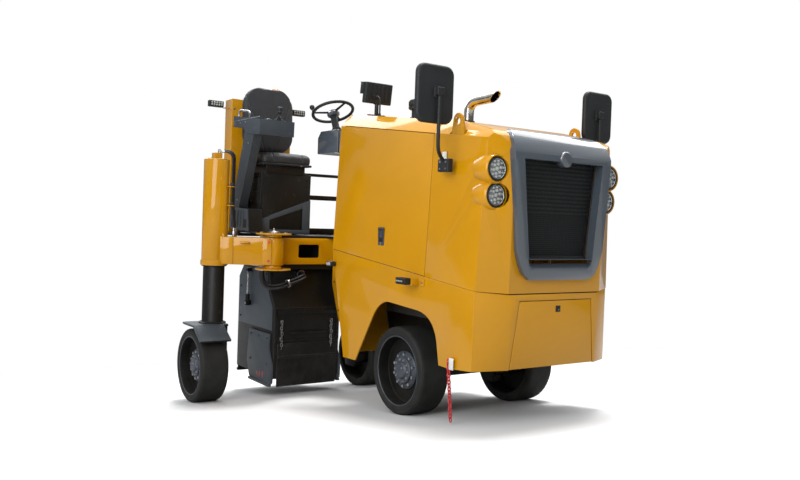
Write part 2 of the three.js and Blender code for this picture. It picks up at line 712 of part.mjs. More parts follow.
function seatPedestal() {
  const body = across(outline([[-1400, 1207], [-960, 1207], [-938, 1748], [-1400, 1748]]), -840, -350);
  const slides = box(-1340, -930, -800, -420, 1740, 1811.5);
  const foot = across(outline([[-1310, 1240], [-880, 1225], [-915, 1420], [-1292, 1440]]), -975, -836);
  return union(body, slides, foot.subtract(box(-1350, -800, -980, -964, 1200, 1500)));
}

function seatCushion() {
  const shape = new THREE.Shape();
  shape.moveTo(-1330, 1812);
  shape.lineTo(-930, 1812);
  shape.quadraticCurveTo(-858, 1822, -872, 1894);
  shape.quadraticCurveTo(-900, 1942, -1010, 1930);
  shape.lineTo(-1240, 1912);
  shape.quadraticCurveTo(-1330, 1908, -1345, 1880);
  return across(shape, SEAT_Y - 250, SEAT_Y + 250, 4);
}

function seatBackrest() {
  const face = roundedRectangle(SEAT_Y - 262, SEAT_Y + 262, 1935, 2556, 190);
  const slab = along(face, -1385, -1290, 5);
  const lean = 0.06;
  const shear = [1, 0, 0, 0, 0, 1, 0, 0, -lean, 0, 1, 0, lean * 1935, 0, 0, 1];
  const bracket = box(-1392, -1346, SEAT_Y - 60, SEAT_Y + 60, 1748 + GAP, 2000);
  return slab.transform(shear).add(bracket);
}

function controlConsole() {
  const head = across(outline([
    [-1272, 2150], [-1050, 2130], [-1000, 2074], [-712, 2048], [-706, 2178], [-1272, 2250],
  ]), -972, -880);
  const frontShape = outline([[-1180, 2140], [-1000, 2074], [-712, 2048], [-706, 2178], [-1180, 2238]]);
  const front = across(frontShape, -890, -650);
  const arm = across(outline([[-1280, 1441.5], [-1120, 1433], [-840, 2076], [-1030, 2122]]), -962, -884);
  const stick = bar([[-790, -760, 2180], [-780, -760, 2230], [-775, -760, 2265]], 9, 8, 3);
  const knob = upright(24, -774, -760, 2258, 2300, 10);
  const grab = bar([
    [-1230, -940, 2238], [-1222, -940, 2282], [-1180, -940, 2292], [-1030, -940, 2272],
    [-990, -940, 2250], [-985, -940, 2200],
  ], 9, 8, 14);
  return union(head, front, arm, stick, knob, grab);
}

const WHEEL_TILT = 24 * Math.PI / 180;
const STEERING_CENTRE = [-470, -410, 2272];
const KNOB_TURN = 2.35;

function steeringBox() {
  const shape = outline([[-520, 1905], [-180, 1905], [-180, 2095], [-470, 2095], [-520, 2040]]);
  const body = across(shape, -520, -300);
  const bracket = box(-200, REAR_X - GAP, -500, -320, 1905, 2080);
  const axis = new THREE.Vector3(-Math.sin(WHEEL_TILT), 0, Math.cos(WHEEL_TILT));
  const centre = new THREE.Vector3(...STEERING_CENTRE);
  const from = centre.clone().addScaledVector(axis, -205);
  const to = centre.clone().addScaledVector(axis, -46);
  const middle = from.clone().lerp(to, 0.5);
  const column = bar([from.toArray(), middle.toArray(), to.toArray()], 22, 10, 2);
  return union(body, bracket, column);
}

function steeringWheel() {
  const ring = new THREE.TorusGeometry(172, 13, 6, 22);
  const hub = new THREE.CylinderGeometry(34, 26, 50, 14).rotateX(Math.PI / 2).translate(0, 0, -14);
  const spoke = (angle) => {
    const geometry = new THREE.BoxGeometry(150, 26, 10).translate(90, 0, -4).rotateZ(angle);
    return solid(geometry);
  };
  const knobStem = new THREE.CylinderGeometry(8, 8, 84, 8).rotateX(Math.PI / 2).translate(0, 172, 46);
  const knob = new THREE.CylinderGeometry(22, 18, 30, 12).rotateX(Math.PI / 2).translate(0, 172, 98);
  for (const part of [knobStem, knob]) part.rotateZ(KNOB_TURN);
  const spokes = [0.2, 0.2 + 2 * Math.PI / 3, 0.2 + 4 * Math.PI / 3].map(spoke);
  const whole = union(solid(ring), solid(hub), ...spokes, solid(knobStem), solid(knob));
  return geometryOf(whole).rotateY(-WHEEL_TILT).translate(...STEERING_CENTRE);
}

function lampMast() {
  const post = (y) => box(-1600, -1440, y, y + 120, FLOOR.z1 + GAP, 2430);
  const topBar = box(-1570, -1470, -920, -320, 2372, 2430);
  const midBar = box(-1560, -1490, -920, -320, 1560, 1640);
  return union(post(-920), post(-440), topBar, midBar);
}

function workLamp(side) {
  const y = side < 0 ? -920 : -320;
  const out = (a, b) => [Math.min(y + side * a, y + side * b), Math.max(y + side * a, y + side * b)];
  const arm = box(-1535, -1505, ...out(GAP, 60), 2350, 2370);
  const head = box(-1570, -1490, ...out(50, 190), 2350, 2405);
  return union(arm, head);
}

function beaconLamp() {
  const profile = [[0, 0], [48, 0], [48, 42], [58, 46], [58, 108], [48, 138], [24, 156], [0, 160]];
  const points = profile.map(([r, y]) => new THREE.Vector2(r, y));
  const dome = asClosed(new THREE.LatheGeometry(points, 20));
  return dome.rotateX(Math.PI / 2).translate(-1520, -455, 2430 + GAP);
}

function hoseBundle() {
  return bar([
    [-960, -795, 914], [-960, -795, 850], [-952, -794, 805], [-925, -790, 768], [-880, -782, 748],
    [-830, -771, 745], [-790, -748, 746], [-763, -705, 758], [-752, -640, 783], [-750, -570, 808],
    [-756, -510, 829], [-790, -465, 845], [-850, -450, 850], [-899.5, -450, 850],
  ], 30, 8, 24);
}

// ---------------------------------------------------------------- assembly
add("main_frame", mainFrame(), "yellow");
add("lower_skirt", lowerSkirt(), "yellow");
add("front_door", frontDoor(), "yellow");
add("engine_block", box(190, 1330, -230, 230, 640 + GAP, 1440), "castIron");
add("hood_shell", hoodShell(), "yellow");
add("right_engine_door", engineDoor(-1), "yellow");
add("left_engine_door", engineDoor(1), "yellow");
add("front_hood", frontHood(), "yellow");
add("grille_surround", grilleSurround(), "slate");
add("radiator_grille", radiatorGrille(), "blackPlastic");
add("right_headlamps", headlamps(-1), "lamp");
add("left_headlamps", headlamps(1), "lamp");
add("lifting_eyes", liftingEyes(), "yellow");
add("right_mirror", mirror(-1), "blackPlastic");
add("left_mirror", mirror(1), "blackPlastic");
add("exhaust_pipe", exhaustPipe(), "chrome");
add("display_panel", displayPanel(), "blackPlastic");
add("air_precleaner", airPrecleaner(), "darkSlate");
add("front_axle", frontAxle(), "blackSteel");
add("right_front_knuckle", frontKnuckle(-1), "blackSteel");
add("left_front_knuckle", frontKnuckle(1), "blackSteel");
add("right_swing_arm", swingArm(), "yellow");
add("left_strut_sleeve", strutSleeve(LEFT_REAR_Y - COLUMN_INSET), "yellow");
add("right_rear_strut", rearStrut(RIGHT_REAR_Y, -1), "blackSteel");
add("left_rear_strut", rearStrut(LEFT_REAR_Y, 1), "blackSteel");
for (const [name, x, y, z, side] of [
  ["right_front", FRONT_AXLE.x, -FRONT_TRACK_HALF, FRONT_AXLE.z, -1],
  ["left_front", FRONT_AXLE.x, FRONT_TRACK_HALF, FRONT_AXLE.z, 1],
  ["right_rear", REAR_WHEEL.x, RIGHT_REAR_Y, REAR_WHEEL.z, -1],
  ["left_rear", REAR_WHEEL.x, LEFT_REAR_Y, REAR_WHEEL.z, 1],
]) addWheel(name, x, y, z, side, frameGroup);
add("drum_housing", drumHousing(), "blackSteel");
add("front_flap", frontFlap(), "blackSteel");
add("rear_gate", rearGate(), "blackSteel");
add("right_skid_plate", skidPlate(-1), "darkSlate");
add("left_skid_plate", skidPlate(1), "darkSlate");
add("milling_drum", millingDrum(), "castIron");
add("hose_bundle", hoseBundle(), "rubber");
add("operator_floor", operatorFloor(), "blackSteel");
add("boarding_step", boardingStep(), "blackSteel");
add("guard_rail", guardRail(), "blackSteel");
add("seat_pedestal", seatPedestal(), "blackSteel");
add("seat_cushion", seatCushion(), "cushion");
add("seat_backrest", seatBackrest(), "cushion");
add("control_console", controlConsole(), "darkSlate");
add("steering_box", steeringBox(), "slate");
add("steering_wheel", steeringWheel(), "blackPlastic");
add("lamp_mast", lampMast(), "yellow");
add("beacon_lamp", beaconLamp(), "orange");
add("right_work_lamp", workLamp(-1), "blackPlastic");
add("left_work_lamp", workLamp(1), "blackPlastic");

machine.updateMatrixWorld(true);
const bounds = new THREE.Box3().setFromObject(machine, true);
const middle = bounds.getCenter(new THREE.Vector3());
machine.position.set(-middle.x, -middle.y, -bounds.min.z);

export default machine;
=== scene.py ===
import json
import math

import bmesh
import bpy
from bpy.props import FloatProperty, FloatVectorProperty, IntProperty, PointerProperty
from mathutils import Matrix, Vector


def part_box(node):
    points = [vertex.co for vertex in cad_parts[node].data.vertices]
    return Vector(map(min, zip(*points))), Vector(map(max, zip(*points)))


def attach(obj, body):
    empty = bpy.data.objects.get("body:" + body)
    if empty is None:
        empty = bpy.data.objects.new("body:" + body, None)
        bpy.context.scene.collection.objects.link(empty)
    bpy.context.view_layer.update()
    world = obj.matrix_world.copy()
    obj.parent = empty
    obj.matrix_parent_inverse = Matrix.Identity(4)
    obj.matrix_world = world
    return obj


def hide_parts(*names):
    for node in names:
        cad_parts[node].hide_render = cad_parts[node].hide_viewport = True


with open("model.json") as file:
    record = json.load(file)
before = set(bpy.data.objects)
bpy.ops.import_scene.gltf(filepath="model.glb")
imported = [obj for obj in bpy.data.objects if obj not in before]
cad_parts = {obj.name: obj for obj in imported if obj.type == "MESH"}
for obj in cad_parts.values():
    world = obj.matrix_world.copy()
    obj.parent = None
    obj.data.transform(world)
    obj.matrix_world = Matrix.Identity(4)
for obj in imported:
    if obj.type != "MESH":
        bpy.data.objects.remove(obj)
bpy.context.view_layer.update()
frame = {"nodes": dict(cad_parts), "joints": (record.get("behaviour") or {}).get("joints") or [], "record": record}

bl_info = {
    "name": "Cold planer looks",
    "version": (1, 0, 0),
    "blender": (4, 5, 0),
    "location": "3D View > Sidebar > Planer",
    "description": "Shapes, finishes and stage of a small wheeled cold planer",
    "category": "Object",
}

# The chassis stands nose down about the front axle. Everything is modelled in the chassis's own
# level frame, in millimetres, and CHASSIS takes it to the row frame in metres.
MM = 0.001
WELD = 0.02
PITCH = math.radians(6.8)
AXLE_X, AXLE_Z, KINGPIN_Y = 912.0, 310.0, 320.0
JOINTS = {joint["name"]: joint for joint in frame["joints"]}
KINGPIN = Vector(JOINTS["right_front_steer"]["pos_m"])
CHASSIS = (
    Matrix.Translation(KINGPIN + Vector((0.0, KINGPIN_Y * MM, 0.0)))
    @ Matrix.Rotation(PITCH, 4, "Y")
    @ Matrix.Translation(Vector((-AXLE_X, 0.0, -AXLE_Z)) * MM)
    @ Matrix.Scale(MM, 4)
)
BODY_OF = {
    node: body for body, nodes in frame["record"]["behaviour"]["bodies"].items() for node in nodes
}

SEAM_X, SEAM_Z, SEAM_SLOPE = -65.0, 1117.0, 0.0988
HOOD_REAR_X = 20.0
TUMBLEHOME = math.tan(math.radians(2.5))
HOOD_HALF, HOOD_TOP, HOOD_SLOPE, HOOD_CHAMFER = 600.0, 2113.0, 0.1185, 95.0
SIDES = {"right": -1, "left": 1}
PIVOT_X, PIVOT_Y = -734.0, -800.0
COLUMN_X = -985.0
SLEEVE_Y = {"right": -1230.0, "left": 239.0}
REAR_WHEEL_Y = {"right": -1307.0, "left": 316.0}
BEAM_TOP, BEAM_LOW = 1206.4, 905.0
FLOOR_TOP = 1200.0


def seam_z(x):
    """Height of the joint between skirt and hood."""
    return SEAM_Z - SEAM_SLOPE * (x - SEAM_X)


def side_y(z):
    """Half width of the hood at a height."""
    return HOOD_HALF - (z - SEAM_Z) * TUMBLEHOME


def deck_z(x):
    """Height of the hood's flat top."""
    return HOOD_TOP + HOOD_CHAMFER - HOOD_SLOPE * (x - SEAM_X)


# ---------------------------------------------------------------- settings
def colour_setting(name, description, default):
    return FloatVectorProperty(
        name=name, description=description, subtype="COLOR", size=3, default=default, min=0, max=1,
    )


class PlanerPaint(bpy.types.PropertyGroup):
    """Colours of the machine's finishes"""

    yellow: colour_setting("Yellow", "Body paint", (0.535, 0.246, 0.002))
    slate: colour_setting("Slate", "Grille surround and steering box paint", (0.057, 0.071, 0.087))
    dark_slate: colour_setting("Dark slate", "Console and side plate paint", (0.05, 0.062, 0.075))
    black: colour_setting(
        "Black steel", "Painted steel of the underworks", (0.0075, 0.0078, 0.0072),
    )
    rubber: colour_setting("Tyre", "Solid tyre rubber", (0.013, 0.0138, 0.0128))
    vinyl: colour_setting("Seat vinyl", "Driver's seat cover", (0.022, 0.023, 0.026))
    red: colour_setting("Red", "Marks and the hanging chain", (0.58, 0.008, 0.014))


class PlanerSizes(bpy.types.PropertyGroup):
    """Sizes a user would change"""

    panel_round: FloatProperty(
        name="Panel rounding", description="Edge radius of the body panels", unit="LENGTH",
        default=0.006, min=0.0, max=0.02,
    )
    plate_round: FloatProperty(
        name="Plate rounding", description="Edge radius of plates and castings", unit="LENGTH",
        default=0.003, min=0.0, max=0.01,
    )
    hub_bolts: IntProperty(
        name="Hub bolts", description="Bolts round each wheel hub", default=10, min=4, max=16,
    )
    grille_ribs: IntProperty(
        name="Grille ribs", description="Slats across the radiator grille", default=13, min=4,
        max=30,
    )
    picks: IntProperty(
        name="Picks", description="Cutting tools on the milling drum", default=54, min=12,
        max=90,
    )
    key_strength: FloatProperty(
        name="Key light", description="Strength of the main lamp", default=2.9, min=0, max=10,
    )
    fill_strength: FloatProperty(
        name="Fill light", description="Strength of the even light all round", default=0.36,
        min=0, max=3,
    )


# ---------------------------------------------------------------- node groups and materials
def new_group(name, inputs, outputs):
    group = bpy.data.node_groups.new(name, "ShaderNodeTree")
    for label, kind, value in inputs:
        socket = group.interface.new_socket(label, in_out="INPUT", socket_type=kind)
        if value is not None:
            socket.default_value = value
    for label, kind in outputs:
        group.interface.new_socket(label, in_out="OUTPUT", socket_type=kind)
    return group, group.nodes.new("NodeGroupInput"), group.nodes.new("NodeGroupOutput")


def node(tree, kind, **settings):
    made = tree.nodes.new(kind)
    for key, value in settings.items():
        setattr(made, key, value)
    return made


def feed(tree, socket, value):
    """Links another socket to this one, or gives it a plain value."""
    if isinstance(value, bpy.types.NodeSocket):
        tree.links.new(value, socket)
    elif value is not None:
        socket.default_value = value


def math_node(tree, operation, a, b=None, clamp=False):
    made = node(tree, "ShaderNodeMath", operation=operation, use_clamp=clamp)
    for socket, value in zip(made.inputs, (a, b)):
        feed(tree, socket, value)
    return made.outputs[0]


def noise_node(tree, vector, scale, detail=3.0, rough=0.55):
    made = node(tree, "ShaderNodeTexNoise")
    for key, value in (
        ("Detail", detail), ("Roughness", rough), ("Scale", scale), ("Vector", vector),
    ):
        feed(tree, made.inputs[key], value)
    return made.outputs["Fac"]


def spread(tree, value, low, high):
    """A value eased from 0 at the low end to 1 at the high end."""
    made = node(tree, "ShaderNodeMapRange", clamp=True, interpolation_type="SMOOTHSTEP")
    tree.links.new(value, made.inputs["Value"])
    made.inputs["From Min"].default_value = low
    made.inputs["From Max"].default_value = high
    return made.outputs["Result"]


def weathering_group():
    """Soft mottling of the colour, and road dust that lies low down and on upward faces."""
    group, source, result = new_group(
        "road_weathering",
        [("Mottle Scale", "NodeSocketFloat", 4.0), ("Dust Height", "NodeSocketFloat", 0.7),
         ("Dust Amount", "NodeSocketFloat", 0.3)],
        [("Mottle", "NodeSocketFloat"), ("Dust", "NodeSocketFloat")],
    )
    coords = node(group, "ShaderNodeTexCoord")
    place = coords.outputs["Object"]
    mottle = spread(group, noise_node(group, place, source.outputs["Mottle Scale"], 4.0), 0.3, 0.7)
    group.links.new(mottle, result.inputs["Mottle"])
    parts = node(group, "ShaderNodeSeparateXYZ")
    group.links.new(place, parts.inputs[0])
    facing = node(group, "ShaderNodeSeparateXYZ")
    group.links.new(coords.outputs["Normal"], facing.inputs[0])
    height = math_node(group, "DIVIDE", parts.outputs["Z"], source.outputs["Dust Height"])
    low = math_node(group, "SUBTRACT", 1.0, height, clamp=True)
    low = math_node(group, "POWER", low, 1.6)
    upward = math_node(group, "MULTIPLY", spread(group, facing.outputs["Z"], 0.5, 1.0), 0.28)
    patches = spread(group, noise_node(group, place, 11.0, 6.0, 0.65), 0.33, 0.68)
    drawn = node(group, "ShaderNodeMapping")
    drawn.inputs["Scale"].default_value = (26.0, 26.0, 2.2)
    group.links.new(place, drawn.inputs["Vector"])
    runs = spread(group, noise_node(group, drawn.outputs["Vector"], 1.0, 2.0), 0.55, 0.8)
    both = math_node(group, "ADD", low, upward)
    both = math_node(group, "ADD", both, math_node(group, "MULTIPLY", runs, 0.08))
    both = math_node(group, "MULTIPLY", both, math_node(group, "ADD", patches, 0.25))
    dust = math_node(group, "MULTIPLY", both, source.outputs["Dust Amount"], clamp=True)
    group.links.new(dust, result.inputs["Dust"])
    return group


def grain_group():
    """Fine height grain: two noises, one much finer than the other."""
    group, source, result = new_group(
        "fine_grain",
        [("Scale", "NodeSocketFloat", 300.0), ("Coarse Scale", "NodeSocketFloat", 30.0),
         ("Coarse Share", "NodeSocketFloat", 0.3)],
        [("Height", "NodeSocketFloat")],
    )
    place = node(group, "ShaderNodeTexCoord").outputs["Object"]
    fine = noise_node(group, place, source.outputs["Scale"], 2.0)
    coarse = noise_node(group, place, source.outputs["Coarse Scale"], 2.0)
    share = math_node(group, "MULTIPLY", coarse, source.outputs["Coarse Share"])
    group.links.new(math_node(group, "ADD", fine, share), result.inputs["Height"])
    return group


def scuff_group():
    """Thin scratches and chips where paint is rubbed through."""
    group, source, result = new_group(
        "scuffs",
        [("Scale", "NodeSocketFloat", 14.0), ("Amount", "NodeSocketFloat", 0.3)],
        [("Mask", "NodeSocketFloat")],
    )
    place = node(group, "ShaderNodeTexCoord").outputs["Object"]
    chips = spread(group, noise_node(group, place, source.outputs["Scale"], 8.0, 0.75), 0.62, 0.66)
    drawn = node(group, "ShaderNodeMapping")
    drawn.inputs["Rotation"].default_value = (0.4, 0.9, 0.3)
    drawn.inputs["Scale"].default_value = (6.0, 90.0, 9.0)
    group.links.new(place, drawn.inputs["Vector"])
    lines = spread(group, noise_node(group, drawn.outputs["Vector"], 1.0, 3.0), 0.66, 0.7)
    both = math_node(group, "MAXIMUM", chips, math_node(group, "MULTIPLY", lines, 0.7))
    group.links.new(
        math_node(group, "MULTIPLY", both, source.outputs["Amount"], clamp=True),
        result.inputs["Mask"],
    )
    return group


GROUPS = {}
MATERIALS = {}
# Material slots with the finish that goes with each
PLASTIC = ("black_plastic", "black_moulding")
ENAMEL = ("black_steel", "black_enamel")
YELLOW = ("yellow_paint", "yellow_gloss")
SATIN = ("dark_slate_paint", "dark_slate_satin")
SLATE = ("slate_paint", "slate_gloss")
BRIGHT = ("exhaust_metal", "bright_steel")
HOSE = ("hose_rubber", "hose_black")
DUST_COLOUR = (0.23, 0.2, 0.165, 1.0)


def use_group(tree, label, **values):
    made = node(tree, "ShaderNodeGroup", node_tree=GROUPS[label])
    for key, value in values.items():
        made.inputs[key.replace("_", " ").title()].default_value = value
    return made


def mix_colour(tree, factor, a, b):
    made = node(tree, "ShaderNodeMix", data_type="RGBA")
    for key, value in (("Factor", factor), (6, a), (7, b)):
        feed(tree, made.inputs[key], value)
    return made.outputs[2]


def shade(colour, factor):
    return tuple(min(1.0, c * factor) for c in colour[:3]) + (1.0,)


def finish_material(
    name, colour, roughness, metallic=0.0, coat=0.0, mottle=(4.0, 0.9), dust=(0.7, 0.3),
    grain=(420.0, 40.0, 0.4, 0.0006), scuff=None, specular=0.5,
):
    """One painted, moulded or cast finish, with its mottling, dust, grain and wear."""
    made = bpy.data.materials.new(name)
    made.use_nodes = True
    tree = made.node_tree
    shader = tree.nodes["Principled BSDF"]
    weather = use_group(
        tree, "road_weathering", mottle_scale=mottle[0], dust_height=dust[0], dust_amount=dust[1],
    )
    mottled = weather.outputs["Mottle"]
    base = mix_colour(tree, mottled, shade(colour, mottle[1]), shade(colour, 1.04))
    rough = math_node(tree, "MULTIPLY_ADD", mottled, 0.06)
    rough.node.inputs[2].default_value = roughness - 0.03
    if scuff:
        wear_and_highlight = use_group(tree, "scuffs", scale=scuff[0], amount=scuff[1])
        base = mix_colour(tree, wear_and_highlight.outputs["Mask"], base, scuff[2] + (1.0,))
    base = mix_colour(tree, weather.outputs["Dust"], base, DUST_COLOUR)
    tree.links.new(base, shader.inputs["Base Color"])
    rough = math_node(tree, "ADD", rough, math_node(tree, "MULTIPLY", weather.outputs["Dust"], 0.5))
    tree.links.new(math_node(tree, "MINIMUM", rough, 0.95), shader.inputs["Roughness"])
    shader.inputs["Metallic"].default_value = metallic
    shader.inputs["Specular IOR Level"].default_value = specular
    if coat:
        shader.inputs["Coat Weight"].default_value = coat
        shader.inputs["Coat Roughness"].default_value = 0.08
    fine = use_group(
        tree, "fine_grain", scale=grain[0], coarse_scale=grain[1], coarse_share=grain[2],
    )
    bump = node(tree, "ShaderNodeBump")
    bump.inputs["Strength"].default_value = 0.6
    bump.inputs["Distance"].default_value = grain[3]
    tree.links.new(fine.outputs["Height"], bump.inputs["Height"])
    tree.links.new(bump.outputs["Normal"], shader.inputs["Normal"])
    MATERIALS[name] = made
    return made


def vinyl_material(name, colour):
    """Seat vinyl: a pebbled leather grain, darker in its creases."""
    made = finish_material(
        name, colour, 0.5, mottle=(9.0, 0.75), dust=(0.5, 0.1), grain=(160.0, 20.0, 1.2, 0.0006),
    )
    tree = made.node_tree
    place = node(tree, "ShaderNodeTexCoord").outputs["Object"]
    cells = node(tree, "ShaderNodeTexVoronoi", feature="DISTANCE_TO_EDGE")
    cells.inputs["Scale"].default_value = 330.0
    tree.links.new(place, cells.inputs["Vector"])
    raised = spread(tree, cells.outputs["Distance"], 0.0, 0.25)
    bump = next(n for n in tree.nodes if n.type == "BUMP")
    old = bump.inputs["Height"].links[0].from_socket
    tree.links.new(math_node(tree, "ADD", old, raised), bump.inputs["Height"])
    return made


def lens_material(name, colour, glow=0.0, roughness=0.12):
    """Moulded clear or tinted lens with a faint cloudiness."""
    made = bpy.data.materials.new(name)
    made.use_nodes = True
    tree = made.node_tree
    shader = tree.nodes["Principled BSDF"]
    weather = use_group(
        tree, "road_weathering", mottle_scale=30.0, dust_height=0.5, dust_amount=0.12,
    )
    base = mix_colour(tree, weather.outputs["Mottle"], shade(colour, 0.82), shade(colour, 1.08))
    tree.links.new(base, shader.inputs["Base Color"])
    rough = math_node(tree, "MULTIPLY_ADD", weather.outputs["Mottle"], 0.08)
    rough.node.inputs[2].default_value = roughness
    tree.links.new(rough, shader.inputs["Roughness"])
    shader.inputs["Coat Weight"].default_value = 0.5
    if glow:
        tree.links.new(base, shader.inputs["Emission Color"])
        shader.inputs["Emission Strength"].default_value = glow
    MATERIALS[name] = made
    return made


def build_materials(paint):
    for label, make in (
        ("road_weathering", weathering_group), ("fine_grain", grain_group), ("scuffs", scuff_group),
    ):
        GROUPS[label] = make()
    bare = (0.33, 0.31, 0.28)
    finish_material("yellow_gloss", paint.yellow, 0.32, coat=0.8, mottle=(2.2, 0.97),
                    dust=(0.9, 0.02), grain=(520.0, 55.0, 0.8, 0.0004), specular=0.03)
    finish_material("slate_gloss", paint.slate, 0.3, coat=1.0, mottle=(3.0, 0.97),
                    dust=(0.6, 0.06), grain=(520.0, 55.0, 0.8, 0.0004))
    finish_material("dark_slate_satin", paint.dark_slate, 0.45, dust=(0.7, 0.12),
                    scuff=(16.0, 0.12, bare), specular=0.3)
    finish_material("black_enamel", paint.black, 0.42, mottle=(5.0, 0.8), dust=(0.9, 0.09),
                    scuff=(18.0, 0.08, bare), specular=0.25)
    finish_material("dish_black", (0.0065, 0.0065, 0.006), 0.5, mottle=(9.0, 0.75),
                    dust=(0.7, 0.04), specular=0.15)
    # Lighter edge finish for bevel faces: partly rubbed steel, partly a painted highlight along the edges.
    finish_material("edge_wear_and_highlight", (0.04, 0.038, 0.036), 0.42, metallic=0.3, mottle=(40.0, 0.5),
                    dust=(0.8, 0.12), specular=0.3)
    finish_material("black_moulding", (0.017, 0.019, 0.02), 0.5, mottle=(7.0, 0.85),
                    dust=(0.5, 0.06), grain=(260.0, 60.0, 0.3, 0.001), specular=0.3)
    finish_material("tyre_rubber", paint.rubber, 0.62, mottle=(9.0, 0.78), dust=(0.75, 0.06),
                    grain=(210.0, 35.0, 0.7, 0.0014), scuff=(26.0, 0.2, (0.05, 0.052, 0.05)),
                    specular=0.25)
    finish_material("hose_black", (0.013, 0.013, 0.014), 0.5, mottle=(20.0, 0.8),
                    dust=(0.9, 0.06), grain=(600.0, 60.0, 0.3, 0.0008), specular=0.35)
    finish_material("hub_grey", (0.06, 0.071, 0.092), 0.42, metallic=0.3, mottle=(14.0, 0.7),
                    dust=(0.7, 0.08), scuff=(40.0, 0.25, (0.3, 0.31, 0.34)))
    finish_material("bright_steel", (0.5, 0.5, 0.51), 0.28, metallic=0.9, mottle=(22.0, 0.7),
                    dust=(0.8, 0.25), grain=(700.0, 90.0, 0.4, 0.0004))
    finish_material("chrome_pipe", (0.66, 0.62, 0.55), 0.16, metallic=1.0, mottle=(12.0, 0.7),
                    dust=(0.3, 0.05), grain=(300.0, 30.0, 0.3, 0.0002))
    finish_material("cast_steel", (0.085, 0.083, 0.08), 0.6, metallic=0.4, mottle=(12.0, 0.6),
                    dust=(1.2, 0.4), grain=(150.0, 30.0, 0.8, 0.003),
                    scuff=(24.0, 0.5, (0.2, 0.12, 0.07)))
    finish_material("carbide_tip", (0.32, 0.31, 0.3), 0.35, metallic=0.85, mottle=(60.0, 0.6))
    finish_material("red_enamel", paint.red, 0.42, coat=0.2, mottle=(30.0, 0.8), dust=(0.6, 0.2))
    finish_material("blank_white", (0.72, 0.72, 0.7), 0.4, mottle=(25.0, 0.93), dust=(0.6, 0.15))
    finish_material("brass_lock", (0.42, 0.33, 0.16), 0.35, metallic=0.85, mottle=(60.0, 0.7))
    finish_material("dark_gap", (0.008, 0.007, 0.006), 0.8, mottle=(8.0, 0.7), dust=(0.5, 0.05))
    finish_material("screen_glass", (0.012, 0.016, 0.02), 0.1, coat=0.6, mottle=(8.0, 0.7),
                    dust=(0.2, 0.02), grain=(90.0, 20.0, 0.2, 0.00005))
    finish_material("mirror_glass", (0.72, 0.75, 0.78), 0.04, metallic=1.0, mottle=(5.0, 0.95),
                    dust=(0.2, 0.02), grain=(90.0, 20.0, 0.2, 0.00002))
    finish_material("reflector", (0.78, 0.79, 0.8), 0.16, metallic=0.9, mottle=(60.0, 0.8),
                    dust=(0.2, 0.05))
    vinyl_material("seat_vinyl_black", paint.vinyl)
    lens_material("lens_clear", (0.2, 0.22, 0.23), roughness=0.1)
    lens_material("lens_led", (0.4, 0.42, 0.4), glow=0.02, roughness=0.12)
    lens_material("lens_amber", (0.83, 0.25, 0.07), glow=0.12, roughness=0.1)


# ---------------------------------------------------------------- modelling helpers
def shaped(mesh, angle=32.0):
    """Smooth faces with sharp edges kept where the surface turns by more than the angle."""
    for face in mesh.polygons:
        face.use_smooth = True
    mesh.set_sharp_from_angle(angle=math.radians(angle))


def meshed(bm, name):
    """The mesh of a finished bmesh."""
    mesh = bpy.data.meshes.new(name)
    bm.to_mesh(mesh)
    bm.free()
    return mesh


def linked(name, data):
    """A new object in the scene."""
    made = bpy.data.objects.new(name, data)
    bpy.context.scene.collection.objects.link(made)
    return made


def settle(bm, name, slot, material, replaces=(), body="chassis", angle=32.0, extra=()):
    """Turns a finished bmesh into a piece that rides on a body, the chassis unless told."""
    bmesh.ops.remove_doubles(bm, verts=bm.verts[:], dist=WELD)
    bmesh.ops.recalc_face_normals(bm, faces=bm.faces[:])
    mesh = meshed(bm, name)
    mesh.transform(CHASSIS)
    shaped(mesh, angle)
    for label in (material, *extra):
        mesh.materials.append(MATERIALS[label])
    piece = linked(name, mesh)
    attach(piece, body)
    if replaces:
        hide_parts(*replaces)
    return piece


def ring(count, shift=0.0):
    """Angle, cosine and sine of evenly spaced places round a circle."""
    for k in range(count):
        a = 2 * math.pi * (k + shift) / count
        yield a, math.cos(a), math.sin(a)


def coat_new(bm, before, material):
    """Gives a material to the faces that were not there before."""
    for face in bm.faces:
        if face not in before:
            face.material_index = material


def edges_of(verts):
    return list({edge for vert in verts for edge in vert.link_edges})


def round_edges(bm, geometry, width, segments=2):
    bmesh.ops.bevel(
        bm, geom=geometry, offset=width, offset_type="OFFSET", segments=segments, profile=0.5,
        affect="EDGES", material=-1, clamp_overlap=True,
    )


def block(bm, x0, x1, y0, y1, z0, z1, width=0.0, segments=2, turn=None, material=0):
    """A box with rounded edges, turned about its own middle if asked."""
    middle = Vector(((x0 + x1) / 2, (y0 + y1) / 2, (z0 + z1) / 2))
    size = Matrix.Diagonal((abs(x1 - x0), abs(y1 - y0), abs(z1 - z0), 1.0))
    before = set(bm.faces)
    made = bmesh.ops.create_cube(
        bm, size=1.0, matrix=Matrix.Translation(middle) @ (turn or Matrix.Identity(4)) @ size,
    )
    if width:
        round_edges(bm, edges_of(made["verts"]), width, segments)
    coat_new(bm, before, material)


def toward(direction):
    """Rotation that takes +Z to a direction."""
    return Vector((0, 0, 1)).rotation_difference(Vector(direction)).to_matrix().to_4x4()


def rod(bm, start, end, radius, tip=None, segments=24, width=0.0, material=0):
    """A round bar or cone from one point to another."""
    a, b = Vector(start), Vector(end)
    before = set(bm.faces)
    made = bmesh.ops.create_cone(
        bm, cap_ends=True, segments=segments, radius1=radius,
        radius2=radius if tip is None else tip, depth=(b - a).length,
        matrix=Matrix.Translation((a + b) / 2) @ toward(b - a),
    )
    if width:
        rims = [e for e in edges_of(made["verts"]) if any(len(f.verts) > 4 for f in e.link_faces)]
        round_edges(bm, rims, width)
    coat_new(bm, before, material)


